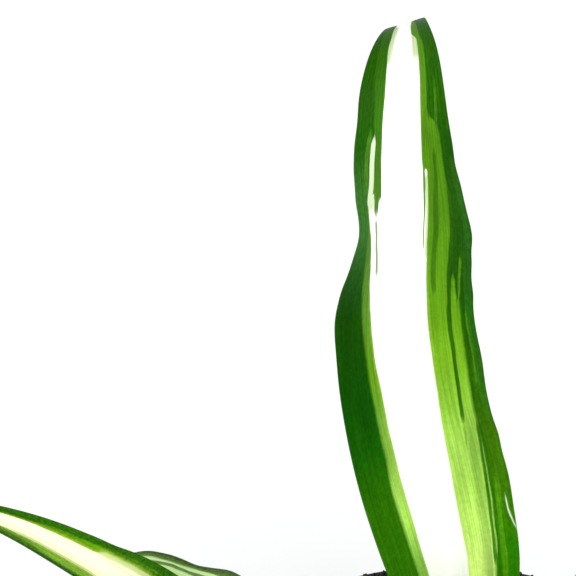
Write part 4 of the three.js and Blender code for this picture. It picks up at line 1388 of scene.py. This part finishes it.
# %% Threads of the tall leaf
TALL_THREADS = {
    "mid_threads": [
        ([(0.02, 0.82), (0.205, 0.82), (0.232, 0.795), (0.265, 0.82), (0.30, 0.86), (0.33, 0.89)], 0.04,
         1.0, 0.06),
        ([(0.36, 0.95), (0.42, 0.95), (0.5, 0.94), (0.60, 0.955), (0.66, 0.95)], 0.045, 0.22),
        ([(0.668, 0.735), (0.679, 0.735), (0.697, 0.76), (0.718, 0.79), (0.732, 0.80)], 0.03, 0.75, 0.02),
        ([(0.610, -0.835), (0.619, -0.82), (0.633, -0.79), (0.651, -0.75), (0.669, -0.70),
          (0.682, -0.66)], 0.045, 0.9)],
    "pale_threads": [
        ([(0.21, 0.715), (0.25, 0.728), (0.277, 0.752), (0.31, 0.772), (0.345, 0.80)], 0.011, 0.6),
        ([(0.500, 0.812), (0.531, 0.850), (0.556, 0.866)], 0.018, 0.75),
        ([(0.496, 0.765), (0.52, 0.765), (0.536, 0.77)], 0.030, 0.8),
        ([(0.40, 0.90), (0.46, 0.91), (0.50, 0.90)], 0.012, 0.25)],
    "dark_threads": [
        ([(0.02, 0.60), (0.205, 0.605), (0.227, 0.61), (0.255, 0.63), (0.278, 0.64), (0.301, 0.65),
          (0.345, 0.68), (0.38, 0.71)], 0.062, 0.42, 0.05, 0.02),
        ([(0.20, 0.70), (0.215, 0.70), (0.233, 0.695), (0.25, 0.70)], 0.025, 0.55, 0.02),
        ([(0.355, 0.624), (0.391, 0.655), (0.437, 0.68), (0.471, 0.687), (0.504, 0.697), (0.53, 0.712),
          (0.562, 0.750), (0.593, 0.785), (0.63, 0.80)], 0.024, 0.92, 0.02),
        ([(0.325, 0.585), (0.346, 0.61), (0.375, 0.64)], 0.012, 0.5, 0.02),
        ([(0.445, 0.665), (0.48, 0.672), (0.512, 0.685)], 0.018, 0.85, 0.02),
        ([(0.20, 0.675), (0.238, 0.69), (0.274, 0.715), (0.305, 0.74), (0.339, 0.77), (0.37, 0.80)],
         0.018, 0.9),
        ([(0.16, 0.745), (0.221, 0.75), (0.26, 0.773), (0.294, 0.79), (0.333, 0.81), (0.37, 0.83)],
         0.020, 0.85),
        ([(0.496, 0.790), (0.52, 0.82), (0.535, 0.83)], 0.010, 0.9),
        ([(0.505, 0.50), (0.545, 0.515), (0.577, 0.557), (0.607, 0.587), (0.643, 0.635), (0.665, 0.64)],
         0.034, 0.62),
        ([(0.682, 0.60), (0.697, 0.625), (0.714, 0.68), (0.73, 0.74), (0.747, 0.75)], 0.06, 0.6, 0.012,
         0.02),
        ([(0.15, 0.90), (0.193, 0.915), (0.22, 0.92), (0.243, 0.92)], 0.075, 0.6),
        ([(0.265, 0.985), (0.28, 0.965), (0.29, 0.945)], 0.03, 0.5),
        ([(0.64, -0.62), (0.665, -0.56), (0.685, -0.53)], 0.02, 0.3)],
    "green_threads": [
        ([(0.602, -0.60), (0.615, -0.565), (0.632, -0.54), (0.65, -0.51)], 0.085),
        ([(0.528, -0.415), (0.55, -0.475), (0.574, -0.567), (0.592, -0.625), (0.60, -0.63)], 0.025, 0.85),
        ([(0.588, -0.61), (0.598, -0.62), (0.606, -0.608), (0.615, -0.585), (0.63, -0.56)], 0.056, 1.0,
         0.016)],
    "tint_threads": [
        ([(0.732, 0.345), (0.755, 0.335), (0.78, 0.34)], 0.10, 0.8, 0.014, 0.02),
        ([(0.742, 0.300), (0.755, 0.290), (0.775, 0.29)], 0.02, 0.9, 0.008, 0.008),
        ([(0.728, -0.455), (0.752, -0.42), (0.765, -0.395), (0.80, -0.3)], 0.10, 0.85, 0.012, 0.04),
        ([(0.595, -0.79), (0.627, -0.69), (0.675, -0.58)], 0.08, 0.7),
        ([(0.54, 0.41), (0.591, 0.45), (0.64, 0.475)], 0.025, 0.85),
        ([(0.23, 1.0), (0.26, 0.95), (0.29, 0.925)], 0.05, 0.45)],
    "cream_threads": [
        ([(0.54, 0.392), (0.548, 0.402), (0.560, 0.410), (0.591, 0.434), (0.61, 0.452), (0.629, 0.468),
          (0.6395, 0.47)], 0.020, 1.0, 0.004),
        ([(0.600, -0.775), (0.615, -0.735), (0.627, -0.69), (0.647, -0.645), (0.666, -0.605),
          (0.675, -0.58)], 0.048),
        ([(0.238, 1.0), (0.245, 0.99), (0.251, 0.97), (0.26, 0.95), (0.27, 0.935), (0.287, 0.925)],
         0.008)],
}
print("the tall leaf has", sum(len(lines) for lines in TALL_THREADS.values()), "threads")

# %% [markdown]
# The tall leaf's foot stands in the shade of its neighbours, about half as bright as its upper
# part, which TALL_SHADE tells. Its right band gets brighter towards the foot all the same, from
# mid green at the top to a pale lime. Near the pinch the left margin's green is painted greyer
# and lighter, as a painted sheen where the margin twists.

# %% Colours of the tall leaf
TALL_SHADE = [(0.2, 0.92), (0.23, 1.02), (0.26, 1.15), (0.30, 1.32), (0.35, 1.45), (0.40, 1.56),
              (0.47, 1.64), (0.6, 1.72)]
TALL_COLOURS = {
    # The stops from 0.545 to 0.62 are a painted sheen, greyer and lighter, where the margin twists.
    "dark_left": tones(TALL_SHADE,
        (0.0, 44, 110, 4), (0.25, 43, 109, 1), (0.30, 43, 110, 0), (0.358, 18, 92, 0), (0.41, 8, 81, 0),
        (0.50, 18, 77, 0), (0.545, 32, 92, 20), (0.58, 56, 116, 42), (0.62, 58, 120, 40),
        (0.66, 32, 98, 6), (0.70, 28, 92, 0), (0.76, 38, 100, 0), (0.80, 44, 104, 16)),
    "dark_right": tones(TALL_SHADE,
        (0.0, 46, 120, 2), (0.22, 46, 121, 0), (0.29, 60, 120, 4), (0.35, 64, 121, 4),
        (0.39, 48, 108, 2), (0.43, 36, 98, 0), (0.50, 24, 88, 0), (0.60, 32, 91, 6), (0.66, 28, 90, 4),
        (0.71, 36, 102, 0), (0.76, 46, 108, 12)),
    "deep": tones(TALL_SHADE,
        (0.0, 24, 108, 6), (0.22, 34, 112, 6), (0.30, 44, 112, 8), (0.40, 30, 98, 3), (0.50, 28, 94, 3),
        (0.60, 42, 98, 8), (0.68, 34, 94, 3), (0.75, 34, 94, 3)),
    "pale_left": tones(TALL_SHADE,
        (0.0, 120, 176, 62), (0.235, 128, 180, 68), (0.275, 160, 210, 86), (0.31, 162, 212, 88),
        (0.345, 142, 192, 68), (0.386, 124, 180, 62), (0.407, 110, 166, 40), (0.44, 102, 160, 22),
        (0.50, 98, 154, 44), (0.56, 88, 144, 44), (0.62, 84, 140, 38), (0.69, 56, 120, 16),
        (0.74, 50, 110, 10)),
    "pale_right": tones(TALL_SHADE,
        (0.0, 214, 250, 128), (0.21, 212, 250, 126), (0.245, 200, 242, 112), (0.29, 182, 231, 96),
        (0.34, 168, 216, 88), (0.385, 146, 204, 60), (0.43, 130, 190, 36), (0.48, 110, 170, 24),
        (0.56, 92, 154, 20), (0.67, 84, 144, 18), (0.70, 98, 158, 28), (0.74, 94, 154, 32)),
    "mid": tones(TALL_SHADE,
        (0.0, 84, 156, 12), (0.30, 84, 152, 14), (0.40, 54, 122, 30), (0.60, 52, 116, 44),
        (0.64, 80, 138, 34), (0.75, 72, 136, 16)),
    "tint": seen(196, 222, 150, 1.7),
    "white": (0.97, 0.97, 0.94, 1),
    "cream": (0.95, 0.97, 0.88, 1),
    "rim_tint": seen(214, 246, 96, 1.6),
}
tall_paint = leaf_paint("stripes_upright", {**TALL_BORDERS, **TALL_THREADS, **TALL_COLOURS}, seed=3.0)
make_leaf(SHOWN_LEAVES[0], columns=97, rows=400, round_steps=2, veins=12, finish=tall_paint)

# %% [markdown]
# The leaf at the left is smaller and creamier, seen from its side where it arches over. Its lime
# rim is broad, and its borders are soft, because the light grazes it.

# %% Stripes of the leaf at the left
LEFT_STRIPES = {
    "inner_left": [(0, 0.40), (0.58, 0.43), (0.64, 0.44), (0.72, 0.47), (0.8, 0.4), (1, 0.2)],
    "inner_right": [
        (0, 0.40), (0.48, 0.56), (0.51, 0.61), (0.550, 0.61), (0.570, 0.60), (0.582, 0.49), (0.60, 0.45),
        (0.66, 0.46), (0.69, 0.49), (0.728, 0.51), (0.8, 0.42), (1, 0.3)],
    "band_left": [
        (0, 0.6), (0.56, 0.70), (0.60, 0.84), (0.64, 0.84), (0.68, 0.74), (0.72, 0.72), (1, 0.4)],
    "band_right": [
        (0, 0.5), (0.47, 0.60), (0.51, 0.68), (0.55, 0.68), (0.57, 0.73), (0.60, 0.71), (0.615, 0.68),
        (0.645, 0.68), (0.69, 0.60), (0.73, 0.56), (1, 0.35)],
    "mid_threads": [([(0.47, 0.75), (0.53, 0.75), (0.59, 0.76)], 0.05, 0.8, 0.02)],
    "pale_threads": [],
    "dark_threads": [([(0.4, -0.97), (0.6, -0.97), (0.85, -0.97)], 0.05, 0.9, 0.02, 0.02)],
    "green_threads": [([(0.44, 0.34), (0.52, 0.37), (0.58, 0.42)], 0.02, 0.3)],
    "cream_threads": [],
    "tint_threads": [
        ([(0.38, 0.50), (0.47, 0.52), (0.52, 0.54), (0.586, 0.55)], 0.08, 0.9, 0.008, 0.03),
        ([(0.54, -0.36), (0.64, -0.37), (0.74, -0.39)], 0.07, 0.8, 0.05, 0.03)],
    "dark_left": tones(EVEN_LIGHT,
        (0, 90, 156, 16), (0.55, 82, 156, 6), (0.66, 68, 130, 8), (1, 60, 112, 10)),
    "dark_right": tones(EVEN_LIGHT, (0, 52, 124, 0), (1, 50, 114, 0)),
    "deep": tones(EVEN_LIGHT, (0, 34, 88, 0), (1, 34, 84, 2)),
    "pale_left": tones(EVEN_LIGHT,
        (0, 140, 200, 50), (0.55, 150, 212, 50), (0.64, 148, 208, 50), (0.69, 124, 176, 44),
        (0.75, 122, 174, 44)),
    "pale_right": tones(EVEN_LIGHT,
        (0, 120, 180, 30), (0.5, 112, 184, 6), (0.6, 106, 176, 8), (0.66, 94, 160, 10),
        (0.75, 76, 136, 10)),
    "mid": even(85, 145, 25),
    "tint": seen(230, 246, 160),
    "white": (0.90, 0.92, 0.64, 1),
    "cream": (0.85, 0.88, 0.50, 1),
    "rim": [(0, 0.4), (0.50, 0.35), (0.57, 0.45), (0.61, 0.7), (0.66, 0.6), (0.7, 0.3), (1, 0)],
    "rim_tint": seen(214, 240, 70),
    "rim_width": 0.16,
    "softness": (0.035, 0.060),
    "foot": 0.14,
    "wander": 0.045,
    "grain": (16, 0.28),
}
left_paint = leaf_paint("stripes_left", LEFT_STRIPES, seed=5.0)
make_leaf(SHOWN_LEAVES[1], columns=65, rows=230, round_steps=2, veins=9, finish=left_paint)

# %% [markdown]
# Behind it shows a strip of an older leaf in its shade. That shade is painted into its colours:
# grey-green all over, a dull green where it is white, and only faint stripes. Its table is the
# other leaf's, with the entries that differ written over it.

# %% Stripes of the shaded leaf
SHADED_STRIPES = {
    **LEFT_STRIPES,
    "inner_left": [(0, 0.3), (0.5, 0.4), (1, 0.2)],
    "inner_right": [
        (0, 0.5), (0.4, 0.80), (0.453, 0.83), (0.49, 0.80), (0.517, 0.79), (0.543, 0.76), (0.6, 0.7),
        (1, 0.3)],
    "band_left": [(0, 0.5), (0.5, 0.6), (1, 0.3)],
    "band_right": [(0, 0.6), (0.5, 0.90), (1, 0.4)],
    "mid_threads": [],
    "dark_threads": [],
    "green_threads": [
        ([(0.36, 0.58), (0.427, 0.66), (0.457, 0.675), (0.485, 0.68), (0.508, 0.655), (0.52, 0.62),
          (0.56, 0.54)], 0.055, 0.95, 0.02, 0.012)],
    "tint_threads": [],
    # From here on these greens and whites are painted shade: darker and greyer than in full light.
    "dark_left": even(64, 104, 28),
    "dark_right": tones(EVEN_LIGHT,
        (0, 84, 116, 60), (0.42, 80, 112, 56), (0.50, 66, 104, 34), (1, 64, 104, 28)),
    "pale_left": even(106, 144, 60),
    "pale_right": even(106, 144, 60),
    "white": (0.62, 0.84, 0.40, 1),
    "cream": (0.40, 0.58, 0.24, 1),
    "rim": [(0, 0), (1, 0)],
}
shaded_paint = leaf_paint("stripes_back_left", SHADED_STRIPES, seed=8.0)
make_leaf(SHOWN_LEAVES[2], columns=57, rows=200, round_steps=2, veins=9, finish=shaded_paint)

# %% [markdown]
# No two leaves of one plant are striped alike, but they follow one habit. For the other leaves
# the borders, bands and threads are drawn at random round the same middle values, from a seeded
# draw that is started again for each leaf, so a change to one leaf leaves the rest as they were.

# %% Drawn stripes
BORDER_PLACES = [0, 0.25, 0.5, 0.75, 0.9]
BORDER_WANDER = 0.05
BORDER_AT_TIP = 0.15


def drawn_border(draw, middle):
    """A border that wanders a little between seat and tip, and closes in at the tip."""
    values = middle + draw.uniform(-BORDER_WANDER, BORDER_WANDER, len(BORDER_PLACES))
    return [*zip(BORDER_PLACES, values.tolist()), (1, BORDER_AT_TIP)]


def drawn_threads(draw, count, inner, outer, half):
    """Threads with drawn starts, lengths and sides, between two distances from the midrib."""
    lines = []
    for _ in range(count):
        start = draw.uniform(0.12, 0.7)
        length = draw.uniform(0.12, 0.3)
        q = draw.choice([-1, 1]) * draw.uniform(inner, outer)
        lines.append(([(start, q), (start + length / 2, q * 1.01), (start + length, q)], half))
    return lines


def drawn_stripes(draw):
    """One leaf's table: borders, a handful of threads, and greens of a drawn warmth. Its whites lie
    above 255, so that they still show as white in a little shade."""
    left, right = draw.uniform(0.33, 0.46, 2)
    warmth = draw.uniform(-10, 14)
    pale = tones(EVEN_LIGHT, (0.1, 158 + warmth, 210, 86), (0.5, 126 + warmth, 184, 48),
                 (1, 98 + warmth, 156, 34))
    return {
        "inner_left": drawn_border(draw, left),
        "inner_right": drawn_border(draw, right),
        "band_left": drawn_border(draw, left + draw.uniform(0.12, 0.24)),
        "band_right": drawn_border(draw, right + draw.uniform(0.12, 0.26)),
        "mid_threads": drawn_threads(draw, 2, 0.75, 0.9, 0.04),
        "pale_threads": drawn_threads(draw, 2, 0.66, 0.9, 0.012),
        "dark_threads": drawn_threads(draw, 2, 0.5, 0.68, 0.016),
        "green_threads": drawn_threads(draw, 2, 0.16, 0.36, 0.016),
        "cream_threads": drawn_threads(draw, 2, 0.5, 0.8, 0.016),
        "tint_threads": drawn_threads(draw, 3, 0.05, 0.3, 0.022),
        "dark_left": tones(EVEN_LIGHT, (0, 40 + warmth, 108, 12), (1, 44 + warmth, 112, 16)),
        "dark_right": tones(EVEN_LIGHT, (0, 44 + warmth, 112, 14), (1, 40 + warmth, 106, 12)),
        "deep": even(34 + warmth, 98, 10),
        "pale_left": pale,
        "pale_right": pale,
        "mid": even(84 + warmth, 150, 30),
        "tint": seen(214, 228, 160),
        "white": seen(264, 264, 252),
        "cream": seen(256, 256, 232),
        "rim": [(0, 0.35), (1, 0.15)],
        "rim_tint": seen(196, 232, 84),
        "rim_width": 0.05,
        "softness": (0.012, 0.030),
        "foot": draw.uniform(0.10, 0.18),
        "wander": 0.02,
        "grain": (30, 0.12),
    }


print("a drawn table has", len(drawn_stripes(np.random.default_rng(100))), "entries")

# %% [markdown]
# Now the other leaves are made, about one row of points for each millimetre of length. They are
# coarser than the three in the portrait, which keeps the whole plant light.

# %% The other leaves
ROWS_PER_MM = 1.05
for number, other in enumerate(OTHER_LEAVES):
    stripes = drawn_stripes(np.random.default_rng(100 + number))
    paint = leaf_paint(other["name"].replace("leaf", "stripes"), stripes, seed=20.0 + 3 * number)
    rows = int(round(ROWS_PER_MM * other["length"]))
    make_leaf(other, columns=41, rows=rows, round_steps=1, veins=7, finish=paint)

# %% [markdown]
# Round the foot of the rosette stand the dry remains of shed leaves, thin brown scales in the
# gaps between the lowest leaves. They are blades too, only short, broad and papery, so the same
# surface makes them. No two are quite the same length or lean.

# %% Papery scales
SCALE_COLUMNS = 13
SCALE_ROWS = 22
SCALE_ROUND = 1
SCALE_SEAT_SLOPE = 36
LOW_SLOPE = 50


def scale_skin(k, heading):
    """The k-th dry scale at this heading, as points and faces."""
    length = 8.5 + 1.5 * math.sin(2.1 * k)
    pitch = [SCALE_SEAT_SLOPE, 56, 66, 60 - 8 * math.sin(1.3 * k)]
    scale = leaf_plan(f"scale_{k}", heading, length, 5.4, pitch, [0, 6 * math.sin(k)],
                      outline=[0.9, 1, 0.86, 0.5, 0.06], fold=[34, 26, 20, 16, 30])
    rings, *_ = blade_skin(scale, SCALE_COLUMNS, SCALE_ROWS, SCALE_ROUND, veins=3)
    return rings.reshape(-1, 3), blade_faces(SCALE_COLUMNS, SCALE_ROWS, SCALE_ROUND)


low_leaves = [leaf for leaf in SHOWN_LEAVES + OTHER_LEAVES if leaf["pitch"][0] < LOW_SLOPE]
low_headings = sorted(leaf["heading"] for leaf in low_leaves)
following = [*low_headings[1:], low_headings[0] + 360]
gaps = [(here + there) / 2 for here, there in zip(low_headings, following)]
scales = joined([scale_skin(k, heading) for k, heading in enumerate(gaps)])
paper = crown_finish("dry_scale", seen(168, 132, 86), seen(112, 78, 46), 500)
make_piece("papery_scales", *scales, paper, "crown")

# %% [markdown]
# Loose peat fills the narrow moat between the stem plate and the soil, where a root ball never
# fits its hole exactly.

# %% Crumbs in the moat
moat_crumbs = scattered(crumb_draw, 620, span=(CROWN_RADIUS - 2.6, HOLE_RADIUS + 0.6), reach=(0.4, 0.95),
                        shape=(1, 0.8, 0.7), ragged=0.12, sunk=0.62)
make_piece("moat_crumbs", *moat_crumbs, peat, "soil")
